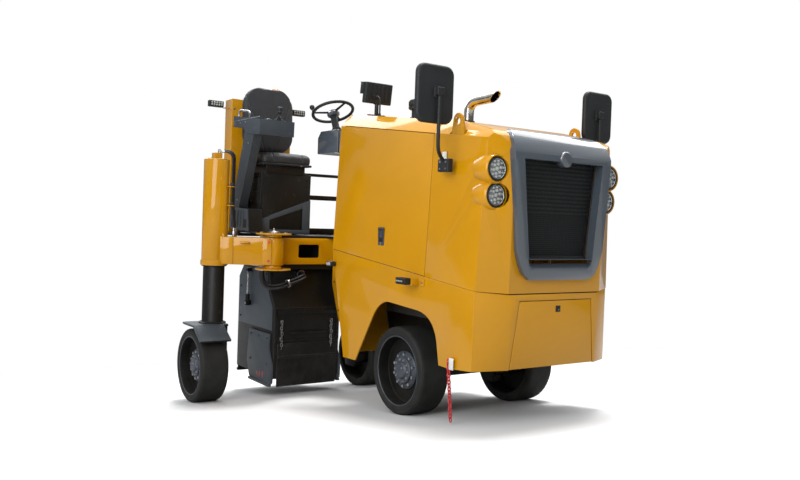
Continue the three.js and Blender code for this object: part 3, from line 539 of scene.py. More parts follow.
def spun(bm, profile, centre, axis, steps=64, material=0):
    """A closed profile of (distance out, distance along) turned about an axis."""
    turn = Matrix.Translation(Vector(centre)) @ toward(axis)
    before = set(bm.faces)
    verts = [bm.verts.new(turn @ Vector((out, 0.0, along))) for out, along in profile]
    edges = [bm.edges.new((a, b)) for a, b in zip(verts, verts[1:])]
    bmesh.ops.spin(
        bm, geom=verts + edges, cent=Vector(centre), axis=Vector(axis).normalized(), dvec=(0, 0, 0),
        angle=2 * math.pi, steps=steps, use_merge=True, use_duplicate=False,
    )
    coat_new(bm, before, material)


def hexagon(bm, centre, axis, across, height, material=0):
    """A bolt head on a washer, standing on a surface."""
    c, a = Vector(centre), Vector(axis).normalized()
    rod(bm, c - a * 1.0, c + a * height * 0.18, across * 0.66, segments=16, material=material)
    rod(bm, c, c + a * height, across * 0.56, segments=6, width=height * 0.1, material=material)


def slab(bm, outline, direction, thickness, width=0.0, segments=2, material=0):
    """A flat outline of points pushed along a direction, with rounded edges."""
    before = set(bm.faces)
    verts = [bm.verts.new(Vector(point)) for point in outline]
    face = bm.faces.new(verts)
    pushed = bmesh.ops.extrude_face_region(bm, geom=[face])
    moved = [g for g in pushed["geom"] if isinstance(g, bmesh.types.BMVert)]
    bmesh.ops.translate(bm, verts=moved, vec=Vector(direction).normalized() * thickness)
    new = [f for f in bm.faces if f not in before]
    bmesh.ops.recalc_face_normals(bm, faces=new)
    if width:
        round_edges(bm, list({e for f in new for e in f.edges}), width, segments)
    coat_new(bm, before, material)


def smooth_route(points, steps=8):
    """Points along one smooth line through the given ones."""
    pts = [Vector(p) for p in points]
    pts = [pts[0] * 2 - pts[1], *pts, pts[-1] * 2 - pts[-2]]
    route = []
    for i in range(1, len(pts) - 2):
        a, b, c, d = pts[i - 1:i + 3]
        for k in range(steps):
            t = k / steps
            route.append(0.5 * (
                2 * b + (c - a) * t + (2 * a - 5 * b + 4 * c - d) * t * t
                + (3 * b - a - 3 * c + d) * t * t * t
            ))
    route.append(pts[-2])
    return route


def bent_route(points, radius):
    """Straight runs joined by arcs of one radius, in about 38 points."""
    pts = [Vector(p) for p in points]
    steps = 36 // (len(pts) - 2) - 1
    route = [pts[0]]
    for before, corner, after in zip(pts, pts[1:], pts[2:]):
        back, ahead = (before - corner).normalized(), (after - corner).normalized()
        half = back.angle(ahead) / 2
        centre = corner + (back + ahead).normalized() * (radius / math.sin(half))
        start = corner + back * (radius / math.tan(half))
        finish = corner + ahead * (radius / math.tan(half))
        for k in range(steps + 1):
            first, last = (start - centre).normalized(), (finish - centre).normalized()
            route.append(centre + first.slerp(last, k / steps) * radius)
    route.append(pts[-1])
    return route


def tube(name, points, radius, slot, material, body="chassis", free=False, bend=None):
    """A round bar, pipe or hose along a line. The free argument is not used."""
    bent = bent_route(points, bend) if bend else smooth_route(points)
    route = [CHASSIS @ p for p in bent]
    curve = bpy.data.curves.new(name, "CURVE")
    curve.dimensions = "3D"
    curve.bevel_depth = radius * MM
    curve.bevel_resolution = 4
    curve.use_fill_caps = True
    line = curve.splines.new("POLY")
    line.points.add(len(route) - 1)
    for target, point in zip(line.points, route):
        target.co = (*point, 1.0)
    line.use_smooth = True
    curve.materials.append(MATERIALS[material])
    piece = linked(name, curve)
    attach(piece, body)
    return piece


def cad_copy(label):
    """A bmesh of a CAD node with its loose triangles joined into whole faces."""
    bm = bmesh.new()
    bm.from_mesh(frame["nodes"][label].data)
    flat = math.radians(0.6)
    bmesh.ops.remove_doubles(bm, verts=bm.verts[:], dist=WELD * MM)
    bmesh.ops.dissolve_limit(
        bm, angle_limit=flat, verts=bm.verts[:], edges=bm.edges[:],
        use_dissolve_boundaries=False,
    )
    bmesh.ops.delete(
        bm, geom=[e for e in bm.edges if not e.link_faces], context="EDGES",
    )
    return bm


def dressed(label, material, width, segments=2, angle=28.0, wear_and_highlight=None):
    """A CAD node's own shape with rounded edges and a real finish, standing for the node."""
    mesh = meshed(cad_copy(label), label + "_skin")
    for face in mesh.polygons:
        face.use_smooth = True
    mesh.materials.append(MATERIALS[material])
    if wear_and_highlight:
        mesh.materials.append(MATERIALS[wear_and_highlight])
    piece = linked(label + "_skin", mesh)
    if width:
        bevel = piece.modifiers.new("edges", "BEVEL")
        bevel.width = width
        bevel.segments = segments
        bevel.limit_method = "ANGLE"
        bevel.angle_limit = math.radians(angle)
        bevel.use_clamp_overlap = True
        bevel.harden_normals = True
        # Bevel faces take the second material: on black parts a lighter edge that is partly wear, partly a painted
        # highlight.
        bevel.material = 1 if wear_and_highlight else -1
        bevel.miter_outer = "MITER_ARC"
    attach(piece, BODY_OF[label])
    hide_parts(label)
    return piece


# ---------------------------------------------------------------- body panels
PANEL_FINISH = {
    "hood_shell": "yellow_gloss", "right_engine_door": "yellow_gloss",
    "left_engine_door": "yellow_gloss", "front_hood": "yellow_gloss", "lower_skirt": "yellow_gloss",
    "front_door": "yellow_gloss", "grille_surround": "slate_gloss", "lifting_eyes": "yellow_gloss",
}
FRAME_FINISH = {
    "main_frame": "yellow_gloss", "right_swing_arm": "yellow_gloss",
    "left_strut_sleeve": "yellow_gloss", "lamp_mast": "yellow_gloss", "steering_box": "slate_gloss",
    "control_console": "dark_slate_satin", "operator_floor": "black_enamel",
    "boarding_step": "black_enamel", "seat_pedestal": "black_enamel",
}
UNDER_FINISH = {
    "engine_block": "cast_steel", "front_axle": "black_enamel", "drum_housing": "black_enamel",
    "front_flap": "black_enamel", "rear_gate": "black_enamel",
    "right_skid_plate": "dark_slate_satin", "left_skid_plate": "dark_slate_satin",
    "right_front_knuckle": "black_enamel", "left_front_knuckle": "black_enamel",
    "right_rear_strut": "black_enamel", "left_rear_strut": "black_enamel",
    "milling_drum": "cast_steel",
}


class PLANER_OT_body_panels(bpy.types.Operator):
    """Hood, doors, skirt and grille surround with rounded edges"""

    bl_idname = "planer.body_panels"
    bl_label = "Body panels"

    def execute(self, context):
        width = context.scene.planer_sizes.panel_round
        for label, finish in PANEL_FINISH.items():
            dressed(label, finish, width, 3)
        return {"FINISHED"}


class PLANER_OT_frame_parts(bpy.types.Operator):
    """Frame, arm, mast, platform and console with rounded edges"""

    bl_idname = "planer.frame_parts"
    bl_label = "Frame and platform"

    def execute(self, context):
        width = context.scene.planer_sizes.plate_round
        for label, finish in FRAME_FINISH.items():
            # Black enamel parts get the lighter edge finish: wear and a painted highlight.
            wear_and_highlight = "edge_wear_and_highlight" if finish == "black_enamel" else None
            piece = dressed(label, finish, width, 2, wear_and_highlight=wear_and_highlight)
            if label == "main_frame":
                self.shade_frame_under_hood(piece.data)
        # Painted shade: near-black plates line the hollow of the cross beam and stand in for the shade inside it.
        beam_shade_plates = bmesh.new()
        for x0, x1, z0, z1 in (
            (-1105.7, -1103, 961, 1163), (-1103, -836, 960.4, 963), (-1103, -836, 1161, 1163.6),
        ):
            block(beam_shade_plates, x0, x1, -685, -250, z0, z1)
        for y in (-684, -252):
            block(beam_shade_plates, -1103, -836, y - 1.4, y + 1.4, 963, 1161)
        for a, b, c, d in (
            (-685, -517, 961, 1163), (-303, -250, 961, 1163), (-517, -303, 961, 1001),
            (-517, -303, 1124, 1163),
        ):
            block(beam_shade_plates, -837, -834.4, a, b, c, d)
        settle(beam_shade_plates, "beam_painted_shade", "black_steel", "dark_gap")
        return {"FINISHED"}

    @staticmethod
    def shade_frame_under_hood(mesh):
        """Painted shade: the frame gets black enamel forward of the cross beam, inside the wheel arches under the
        hood.
        """
        mesh.materials.append(MATERIALS["black_enamel"])
        level = CHASSIS.inverted()
        for face in mesh.polygons:
            if (level @ face.center).x > HOOD_REAR_X:
                face.material_index = 1


class PLANER_OT_underworks(bpy.types.Operator):
    """Axle, milling housing, plates, struts and engine mass, with edges lighter for wear and a painted highlight
    """

    bl_idname = "planer.underworks"
    bl_label = "Underworks"

    def execute(self, context):
        width = context.scene.planer_sizes.plate_round
        for label, finish in UNDER_FINISH.items():
            dressed(label, finish, width, 2, wear_and_highlight="edge_wear_and_highlight")
        return {"FINISHED"}


class PLANER_OT_panel_fittings(bpy.types.Operator):
    """Seam strips, latches, hinges, a blank plate and the skirt lamps"""

    bl_idname = "planer.panel_fittings"
    bl_label = "Panel fittings"

    def execute(self, context):
        self.seam()
        for side_name, side in SIDES.items():
            self.latch(side_name, side)
            self.panel_bolts(side_name, side)
        self.front_latch()
        self.skirt_lamp()
        self.blank_plates()
        return {"FINISHED"}

    def seam(self):
        """Dark weather strip inside the joint between skirt and hood."""
        bm = bmesh.new()
        for side in SIDES.values():
            x0, x1 = -60.0, 1706.0
            slab(bm, [
                (x0, side * 596, seam_z(x0) - 7), (x1, side * 596, seam_z(x1) - 7),
                (x1, side * 596, seam_z(x1) + 9), (x0, side * 596, seam_z(x0) + 9),
            ], (0, -side, 0), 5)
        for side in SIDES.values():
            slab(bm, [
                (1707, side * 594, seam_z(1707) - 8), (1816, side * 388, seam_z(1816) - 8),
                (1816, side * 388, seam_z(1816) + 12), (1707, side * 594, seam_z(1707) + 12),
            ], (-1, -side * 0.5, 0), 5)
        block(bm, 1809, 1815, -388, 388, seam_z(1812) - 8, seam_z(1812) + 12)
        settle(bm, "seam_strip", "black_plastic", "dark_gap")

    def latch(self, side_name, side):
        """Paddle latch with its lock, low on the engine door."""
        bm = bmesh.new()
        z = 1245.0
        y = side * (side_y(z) + 0.6)
        lean = Matrix.Rotation(-side * math.radians(2.5), 4, "X")
        block(bm, 592, 668, y - 3, y + 3, z - 66, z + 66, 2.2, 2, lean)
        block(bm, 603, 657, y + side * 1 - 3, y + side * 1 + 3, z - 40, z + 54, 2.5, 2, lean, 1)
        block(bm, 609, 651, y + side * 3 - 3, y + side * 3 + 3, z - 8, z + 44, 2.8, 2, lean)
        rod(bm, (630, y, z - 50), (630, y + side * 6, z - 50), 9, width=1.0, material=2)
        block(bm, 628.6, 631.4, y + side * 5.6, y + side * 6.6, z - 54, z - 46, material=1)
        settle(bm, side_name + "_door_latch", "black_plastic", "hub_grey",
               extra=("dark_gap", "bright_steel"), body=side_name + "_engine_door")

    def panel_bolts(self, side_name, side):
        """Dome heads along the rear and front edges of the skirt's side."""
        bm = bmesh.new()
        for x, z in ((-20, 1010), (-20, 860), (60, 640)):
            rod(bm, (x, side * 599, z), (x, side * 603.5, z), 8, 5.5, 16)
        settle(bm, side_name + "_skirt_screws", *ENAMEL)

    def front_latch(self):
        bm = bmesh.new()
        block(bm, 1817, 1823, 4, 46, 806, 848, 3, 2)
        block(bm, 1820, 1826, 12, 38, 815, 841, 3, 2, material=1)
        rod(bm, (1824, 25, 822), (1828, 25, 822), 5, material=2)
        settle(bm, "front_door_latch", *PLASTIC, extra=("dark_gap", "brass_lock"), body="front_door")
        hinges = bmesh.new()
        for y in (-300, 290):
            rod(hinges, (1806, y - 45, 466), (1806, y + 45, 466), 8, width=1.5)
            block(hinges, 1802, 1809, y - 30, y + 30, 468, 510, 2)
        settle(hinges, "front_door_hinges", *YELLOW, body="front_door")

    def skirt_lamp(self):
        """Slim lamp on a bent bracket at the top of the right skirt."""
        bracket = bmesh.new()
        block(bracket, 1128, 1134, -660, -600, 930, 976, 2)
        block(bracket, 1128, 1190, -606, -600, 930, 976, 2)
        block(bracket, 1080, 1134, -664, -658, 930, 976, 2)
        hexagon(bracket, (1168, -606, 953), (0, -1, 0), 14, 7, 1)
        settle(bracket, "skirt_lamp_bracket", *YELLOW, extra=("bright_steel",))
        lamp = bmesh.new()
        block(lamp, 1010, 1122, -716, -664, 934, 980, 6, 3)
        block(lamp, 1024, 1108, -721, -712, 941, 973, 3, 2, material=1)
        for k in range(4):
            rod(lamp, (1036 + 20 * k, -719, 957), (1036 + 20 * k, -724, 957), 7, 5, 16, material=2)
        settle(lamp, "skirt_lamp", *PLASTIC, extra=("dark_gap", "lens_led"))
        small = bmesh.new()
        block(small, -70, 4, -652, -606, 984, 1022, 5, 3)
        block(small, -60, -6, -657, -648, 992, 1014, 2, 2, material=1)
        settle(small, "corner_lamp", *PLASTIC, extra=("lens_led",))

    def blank_plates(self):
        """Small bare plate where a notice would go."""
        bm = bmesh.new()
        z = 1800.0
        y = -side_y(z) - 0.5
        lean = Matrix.Rotation(math.radians(2.5), 4, "X")
        block(bm, 1300, 1345, y - 1, y + 1, z - 30, z + 30, 0.8, 1, lean)
        settle(bm, "blank_plate_hood", "black_plastic", "blank_white")


class PLANER_OT_grille(bpy.types.Operator):
    """Radiator grille: wire mesh behind slats, inside its rubber edge"""

    bl_idname = "planer.grille"
    bl_label = "Radiator grille"

    low, high, low_half, high_half = 1152.0, 1779.0, 288.0, 356.0

    def half_width(self, z):
        """Half width of the grille opening at a height."""
        share = (z - self.low) / (self.high - self.low)
        return self.low_half + (self.high_half - self.low_half) * share

    def execute(self, context):
        bm = bmesh.new()
        low, high = self.low, self.high
        slab(bm, [
            (1766, -self.low_half, low), (1766, self.low_half, low),
            (1766, self.high_half, high), (1766, -self.high_half, high),
        ], (1, 0, 0), 6, material=1)
        pitch = 13.0
        for k in range(int((high - low) / pitch)):
            z = low + 6 + pitch * k
            reach = self.half_width(z) - 2
            block(bm, 1779, 1783, -reach, reach, z - 1.8, z + 1.8)
        for k in range(-27, 28):
            y = pitch * k
            over = max(0.0, abs(y) - self.low_half) / (self.high_half - self.low_half)
            bottom = low + 3 + over * (high - low)
            if bottom < high - 12:
                block(bm, 1777, 1781, y - 1.8, y + 1.8, bottom, high - 2)
        for k in range(context.scene.planer_sizes.grille_ribs):
            z = 1762 - k * 26.0
            reach = self.half_width(z) - 4
            block(bm, 1781, 1788, -reach, reach, z - 2.6, z + 2.6, 1.5, 2)
        settle(bm, "radiator_mesh", *PLASTIC, ("radiator_grille",), extra=("dark_gap",))
        trim = [(1797, -292, 1151), (1797, 292, 1151), (1797, 360, 1784), (1797, -360, 1784)]
        edge = bmesh.new()
        for a, b in zip(trim, trim[1:] + trim[:1]):
            rod(edge, a, b, 8.0, segments=12)
            bmesh.ops.create_icosphere(
                edge, subdivisions=2, radius=8.0, matrix=Matrix.Translation(Vector(a)),
            )
        block(edge, 1784, 1796, -292, 292, 1152.5, 1172, 2, 2)
        settle(edge, "grille_edge", *PLASTIC)
        liner = bmesh.new()
        for side in SIDES.values():
            slab(liner, [
                (1788, side * 290.5, 1152), (1860, side * 290.5, 1152),
                (1860, side * 357.2, 1779), (1788, side * 357.2, 1779),
            ], (0, -side, 0.1), 3)
        slab(liner, [
            (1788, -356, 1780.6), (1860, -356, 1780.6), (1860, 356, 1780.6), (1788, 356, 1780.6),
        ], (0, 0, -1), 3)
        block(liner, 1784, 1862, -289, 289, 1150.3, 1152.3)
        settle(liner, "grille_liner", *SLATE)
        self.badge()
        return {"FINISHED"}

    def badge(self):
        """Plain round boss on the brow, left bare, with its turned ring."""
        bm = bmesh.new()
        spun(bm, [
            (0, 0), (30, 0), (33, 1.5), (34, 4), (37, 6), (42, 6), (45, 3), (46, -4), (0, -4),
        ], (1866, 0, 1800), (1, 0, 0.02), 48)
        settle(bm, "bare_badge", *BRIGHT)


class PLANER_OT_headlamps(bpy.types.Operator):
    """Four round lamps: housing, reflector, lamp cluster and clear lens"""

    bl_idname = "planer.headlamps"
    bl_label = "Headlamps"
    places = ((1785.0, 510.0, 1707.0), (1770.0, 500.0, 1544.0))

    def execute(self, context):
        for side_name, side in SIDES.items():
            shell, lamp = bmesh.new(), bmesh.new()
            for x, y, z in self.places:
                middle = (x, side * y, z)
                spun(shell, [
                    (0, -56), (60, -56), (74, -44), (75, -2), (72, 3), (67, 4), (64, 1), (63, -14),
                    (0, -18),
                ], middle, (1, 0, 0), 48)
                spun(lamp, [(0, -24), (63, -24), (63, -9), (58, -7), (30, -6), (0, -6)], middle,
                     (1, 0, 0), 48)
                cells = [(0.0, 0.0, 15.0)]
                for count, out, size in ((6, 30.0, 11.0), (10, 50.0, 8.0)):
                    cells += [(out * c, out * s, size) for _, c, s in ring(count, 0.25)]
                for dy, dz, size in cells:
                    spun(lamp, [(0, -6), (size, -6), (size * 0.8, 3), (size * 0.4, 5), (0, 5.5)],
                         (x - 1, side * y + dy, z + dz), (1, 0, 0), 16, 1)
                spun(lamp, [(61, -10), (65, -10), (65, -2), (63, 0), (61, -2)], middle, (1, 0, 0),
                     48, 2)
            block(shell, 1728, 1740, side * 505 - 11, side * 505 + 11, 1560, 1690, 2)
            settle(shell, side_name + "_lamp_bodies", *PLASTIC, (side_name + "_headlamps",))
            settle(lamp, side_name + "_lamp_clusters", "lamp_lens", "lens_clear",
                   extra=("lens_led", "reflector"))
            rims = bmesh.new()
            for x, y, z in self.places:
                spun(rims, [
                    (80, -24), (84, -140), (100, -70), (97, -20), (90, -3), (86, 3), (81, 3),
                    (79.5, -2),
                ], (x, side * y, z), (1, 0, 0), 56)
            settle(rims, side_name + "_lamp_rims", *YELLOW)
        return {"FINISHED"}


class PLANER_OT_mirrors(bpy.types.Operator):
    """Mirrors: shell, glass, clamp boss and bent arm"""

    bl_idname = "planer.mirrors"
    bl_label = "Mirrors"

    def execute(self, context):
        for side_name, side in SIDES.items():
            y, middle, corner = side * 752.0, 2176, 62
            bm = bmesh.new()
            outline = []
            for cy, cz, start in ((84, 124, 0), (-84, 124, 90), (-84, -124, 180), (84, -124, 270)):
                for k in range(7):
                    a = math.radians(start + 15 * k)
                    dy, dz = cy + corner * math.cos(a), cz + corner * math.sin(a)
                    outline.append((1420, y + dy, middle + dz))
            before = set(bm.faces)
            slab(bm, outline, (1, 0, 0), 32)
            new = [f for f in bm.faces if f not in before]
            caps = [f for f in new if abs(f.normal.x) > 0.9 and f.calc_center_median().x > 1440]
            rims = list({e for f in caps for e in f.edges})
            round_edges(bm, rims, 20, 7)
            block(bm, 1448, 1462, y - 30 - side * 10, y + 30 - side * 10, 2150, 2225, 5, 3)
            block(bm, 1458, 1492, side * 742 - 26, side * 742 + 26, 2163, 2214, 5, 3)
            for dy, dz in ((-17, 42), (17, 42), (-17, -18), (17, -18)):
                hexagon(bm, (1462, y + dy - side * 10, middle + dz - 0.5), (1, 0, 0), 8, 4)
            block(bm, 1352, 1462, side * 627 - 21, side * 627 + 21, 1690, 1775, 6, 3)
            for dx, dz in ((-30, 22), (30, 22), (30, -22), (-30, -22)):
                hexagon(bm, (1407 + dx, side * 648, 1732 + dz), (0, side, 0), 10, 5, 1)
            settle(bm, side_name + "_mirror_shell", *PLASTIC,
                   (side_name + "_mirror",), extra=("bright_steel",))
            tube(side_name + "_mirror_arm", [
                (1474, side * 742, 2196), (1474, side * 742, 2080), (1472, side * 741, 1905),
                (1457, side * 726, 1832), (1420, side * 684, 1796), (1408, side * 646, 1764),
            ], 12, *PLASTIC)
            glass = bmesh.new()
            small = [(1419.4, y + (b - y) * 0.9, middle + (c - middle) * 0.93) for _, b, c in outline]
            slab(glass, small, (-1, 0, 0), 3, 1.0, 2)
            settle(glass, side_name + "_mirror_glass", "lamp_lens", "mirror_glass")
        return {"FINISHED"}


class PLANER_OT_exhaust(bpy.types.Operator):
    """Bright exhaust stack with its slash-cut mouth and collar"""

    bl_idname = "planer.exhaust"
    bl_label = "Exhaust"

    def execute(self, context):
        bm = bmesh.new()
        foot, y = 1105, -200
        line = (
            (foot, 1560), (foot, 1900), (foot, 2140), (1120, 2190), (1160, 2216), (1215, 2222),
            (1330, 2226), (1480, 2231),
        )
        spine = smooth_route([(x, y, z) for x, z in line], 6)
        circle = bmesh.ops.create_circle(bm, cap_ends=False, segments=28, radius=35)["verts"]
        bmesh.ops.translate(bm, verts=circle, vec=spine[0])
        edges = edges_of(circle)
        heading = Vector((0, 0, 1))
        for a, b in zip(spine, spine[1:]):
            out = bmesh.ops.extrude_edge_only(bm, edges=edges)["geom"]
            verts = [g for g in out if isinstance(g, bmesh.types.BMVert)]
            edges = [g for g in out if isinstance(g, bmesh.types.BMEdge)]
            bmesh.ops.translate(bm, verts=verts, vec=b - a)
            turn = heading.rotation_difference((b - a).normalized())
            heading = (b - a).normalized()
            bmesh.ops.rotate(bm, verts=verts, cent=b, matrix=turn.to_matrix())
        whole = bm.verts[:] + bm.edges[:] + bm.faces[:]
        bmesh.ops.bisect_plane(
            bm, geom=whole, plane_co=(1390, y, 2235), plane_no=(110, 0, -105),
            clear_outer=True,
        )
        settled = settle(bm, "exhaust_stack", "exhaust_metal", "chrome_pipe", ("exhaust_pipe",))
        wall = settled.modifiers.new("wall", "SOLIDIFY")
        wall.thickness = 2.5 * MM
        wall.offset = -1
        collar = bmesh.new()
        spun(collar, [(36, -6), (40, -6), (50, -10), (52, -6), (44, 3), (41, 14), (36, 14)],
             (foot, y, deck_z(foot) + 6), (HOOD_SLOPE, 0, 1), 40)
        settle(collar, "exhaust_collar", *ENAMEL)
        return {"FINISHED"}


class PLANER_OT_hood_top(bpy.types.Operator):
    """Display, its visor and lead, and the air precleaner"""

    bl_idname = "planer.hood_top"
    bl_label = "Hood top fittings"

    def execute(self, context):
        deck = deck_z(170)
        bm = bmesh.new()
        tilt = Matrix.Rotation(math.radians(8), 4, "Y")
        block(bm, 146, 196, -498, -252, deck + 98, deck + 262, 9, 3, tilt)
        block(bm, 138, 152, -486, -264, deck + 112, deck + 252, 3, 2, tilt, 1)
        block(bm, 112, 176, -500, -250, deck + 258, deck + 264, 2.5, 2, tilt)
        for y in (-499, -251):
            block(bm, 116, 170, y - 2.5, y + 2.5, deck + 170, deck + 262, 2, 2, tilt)
        for k in range(6):
            y = -470 + 38 * k
            block(bm, 192, 200, y, y + 20, deck + 120, deck + 240, 2, 2, tilt)
        rod(bm, (172, -380, deck + 2), (172, -380, deck + 130), 16, width=2)
        rod(bm, (172, -404, deck + 112), (172, -356, deck + 112), 20, width=3)
        rod(bm, (172, -412, deck + 112), (172, -406, deck + 112), 13, segments=8, width=2)
        block(bm, 118, 226, -434, -326, deck - 2, deck + 12, 4, 2,
              Matrix.Rotation(math.atan(HOOD_SLOPE), 4, "Y"))
        for dx, dy in ((-40, -42), (40, -42), (40, 42), (-40, 42)):
            hexagon(bm, (172 + dx, -380 + dy, deck + 9 - dx * HOOD_SLOPE), (HOOD_SLOPE, 0, 1), 11,
                    6, 2)
        settle(bm, "display_unit", *PLASTIC,
               ("display_panel",), extra=("screen_glass", "bright_steel"))
        gland = (282, -420, deck_z(282))
        tube("display_lead", [
            (196, -420, deck + 150), (282, -420, deck + 150), (282, -420, gland[2] + 4),
        ], 6.5, *HOSE, free=True, bend=58)
        reliefs = bmesh.new()
        for point, axis in (((196, -420, deck + 150), (1, 0, 0)), (gland, (0, 0, 1))):
            spun(reliefs, [(0, 0), (15, 0), (15, 6), (11, 8), (8, 26), (0, 26)], point, axis, 24)
        settle(reliefs, "display_lead_reliefs", *PLASTIC)
        base = deck_z(560)
        cap = bmesh.new()
        spun(cap, [
            (0, 0), (46, 0), (46, 8), (33, 12), (33, 62), (48, 66), (57, 74), (58, 84), (52, 90),
            (52, 96), (58, 101), (58, 124), (50, 138), (30, 147), (0, 149),
        ], (600, -300, base - 1), (0, 0, 1), 48)
        for a, c, s in ring(12):
            block(cap, 600 + 55 * c - 2, 600 + 55 * c + 2, -300 + 55 * s - 4, -300 + 55 * s + 4,
                  base + 76, base + 96, 1, 1, Matrix.Rotation(a, 4, "Z"))
        settle(cap, "air_precleaner_bowl", *PLASTIC, ("air_precleaner",))
        return {"FINISHED"}


class PLANER_OT_lifting_rings(bpy.types.Operator):
    """Rolled ring round the hole of each lifting eye"""

    bl_idname = "planer.lifting_rings"
    bl_label = "Lifting eye rings"

    def execute(self, context):
        for side_name, side in SIDES.items():
            bm = bmesh.new()
            spun(bm, [(24.5, -10), (27, -10.8), (30, -9.4), (30, 9.4), (27, 10.8), (24.5, 10)],
                 (1420, side * 537, 2026), (0, 1, 0), 40)
            settle(bm, side_name + "_eye_ring", *YELLOW)
        return {"FINISHED"}


# ---------------------------------------------------------------- wheels
WHEELS = {
    "right_front": (AXLE_X, -497.0, AXLE_Z, -1), "left_front": (AXLE_X, 497.0, AXLE_Z, 1),
    "right_rear": (-987.0, REAR_WHEEL_Y["right"], 84.0, -1),
    "left_rear": (-987.0, REAR_WHEEL_Y["left"], 84.0, 1),
}


class PLANER_OT_wheels(bpy.types.Operator):
    """Solid tyres, dished rims and bolted hubs"""

    bl_idname = "planer.wheels"
    bl_label = "Wheels"

    def execute(self, context):
        bolts = context.scene.planer_sizes.hub_bolts
        for label, (x, y, z, side) in WHEELS.items():
            self.tyre(label, (x, y, z), side)
            self.rim(label, (x, y, z), side)
            self.hub(label, (x, y, z), side, bolts)
        return {"FINISHED"}

    def tyre(self, label, middle, side):
        bm = bmesh.new()
        spun(bm, [
            (245.5, -110), (252, -114), (262, -117.6), (276, -118), (279, -116.2), (282, -117.8),
            (292, -116.4), (301, -110), (307, -101), (309.6, -90), (310, -60), (310, 0), (310, 60),
            (309.6, 90), (307, 101), (301, 110), (292, 116.4), (282, 117.8), (279, 116.2),
            (276, 118), (262, 117.6), (252, 114), (245.5, 110), (245.5, -110),
        ], middle, (0, side, 0), 96)
        settle(bm, label + "_solid_tyre", "tyre", "tyre_rubber", (label + "_tyre",), angle=40,
               body=label + "_wheel")

    def rim(self, label, middle, side):
        bm = bmesh.new()
        spun(bm, [
            (31, 10), (222, 10), (228, -40), (240, -104), (245, -111.6), (245, 111.6), (241, 112),
            (236, 109), (233, 100), (229, 62), (226, 34), (220, 30), (135, 30), (135, 12), (31, 12),
            (31, 10),
        ], middle, (0, side, 0), 96)
        settle(bm, label + "_dish", "black_steel", "dish_black", (label + "_rim",),
               body=label + "_wheel")
        # Painted highlight: the bead ring takes the lighter hub grey, standing in for the thin light line along
        # the rim's edge.
        bead = bmesh.new()
        spun(bead, [
            (238.5, 110.5), (241, 112.8), (245.6, 112.8), (247, 110.8), (245.4, 108), (240, 108),
            (238.5, 110.5),
        ], middle, (0, side, 0), 96)
        settle(bead, label + "_bead_highlight_ring", "dark_slate_paint", "hub_grey", body=label + "_wheel")

    def hub(self, label, middle, side, count):
        x, y, z = middle
        bm = bmesh.new()
        spun(bm, [
            (0, 24), (134, 24), (135, 30), (135, 42), (131, 46), (127, 46), (124, 50), (98, 54),
            (95, 60), (95, 66), (91, 70), (62, 72), (58, 79), (50, 85.4), (0, 86), (0, 24),
        ], middle, (0, side, 0), 72)
        for _, c, s in ring(count, 0.5):
            hexagon(bm, (x + 113 * c, y + side * 47, z + 113 * s), (0, side, 0), 21, 15, 1)
        for _, c, s in ring(count):
            hexagon(bm, (x + 77 * c, y + side * 70, z + 77 * s), (0, side, 0), 13, 8, 1)
        for a, c, s in ring(5, 0.25):
            turn = Matrix.Rotation(-a, 4, "Y")
            cx, cz = x + 108 * c, z + 108 * s
            block(bm, cx - 20, cx + 20, y + side * 44, y + side * 58, cz - 5, cz + 5, 2.5, 2, turn)
        rod(bm, (x + 24, y + side * 84, z + 20), (x + 24, y + side * 90, z + 20), 8, segments=6,
            width=1, material=1)
        settle(bm, label + "_hub", "dark_slate_paint", "hub_grey",
               extra=("bright_steel",), body=label + "_wheel")


# ---------------------------------------------------------------- operator's place
STEER_TILT = math.radians(24)
STEER_CENTRE = Vector((-470.0, -410.0, 2272.0))
KNOB_TURN = 2.35
SEAT_Y = -610.0


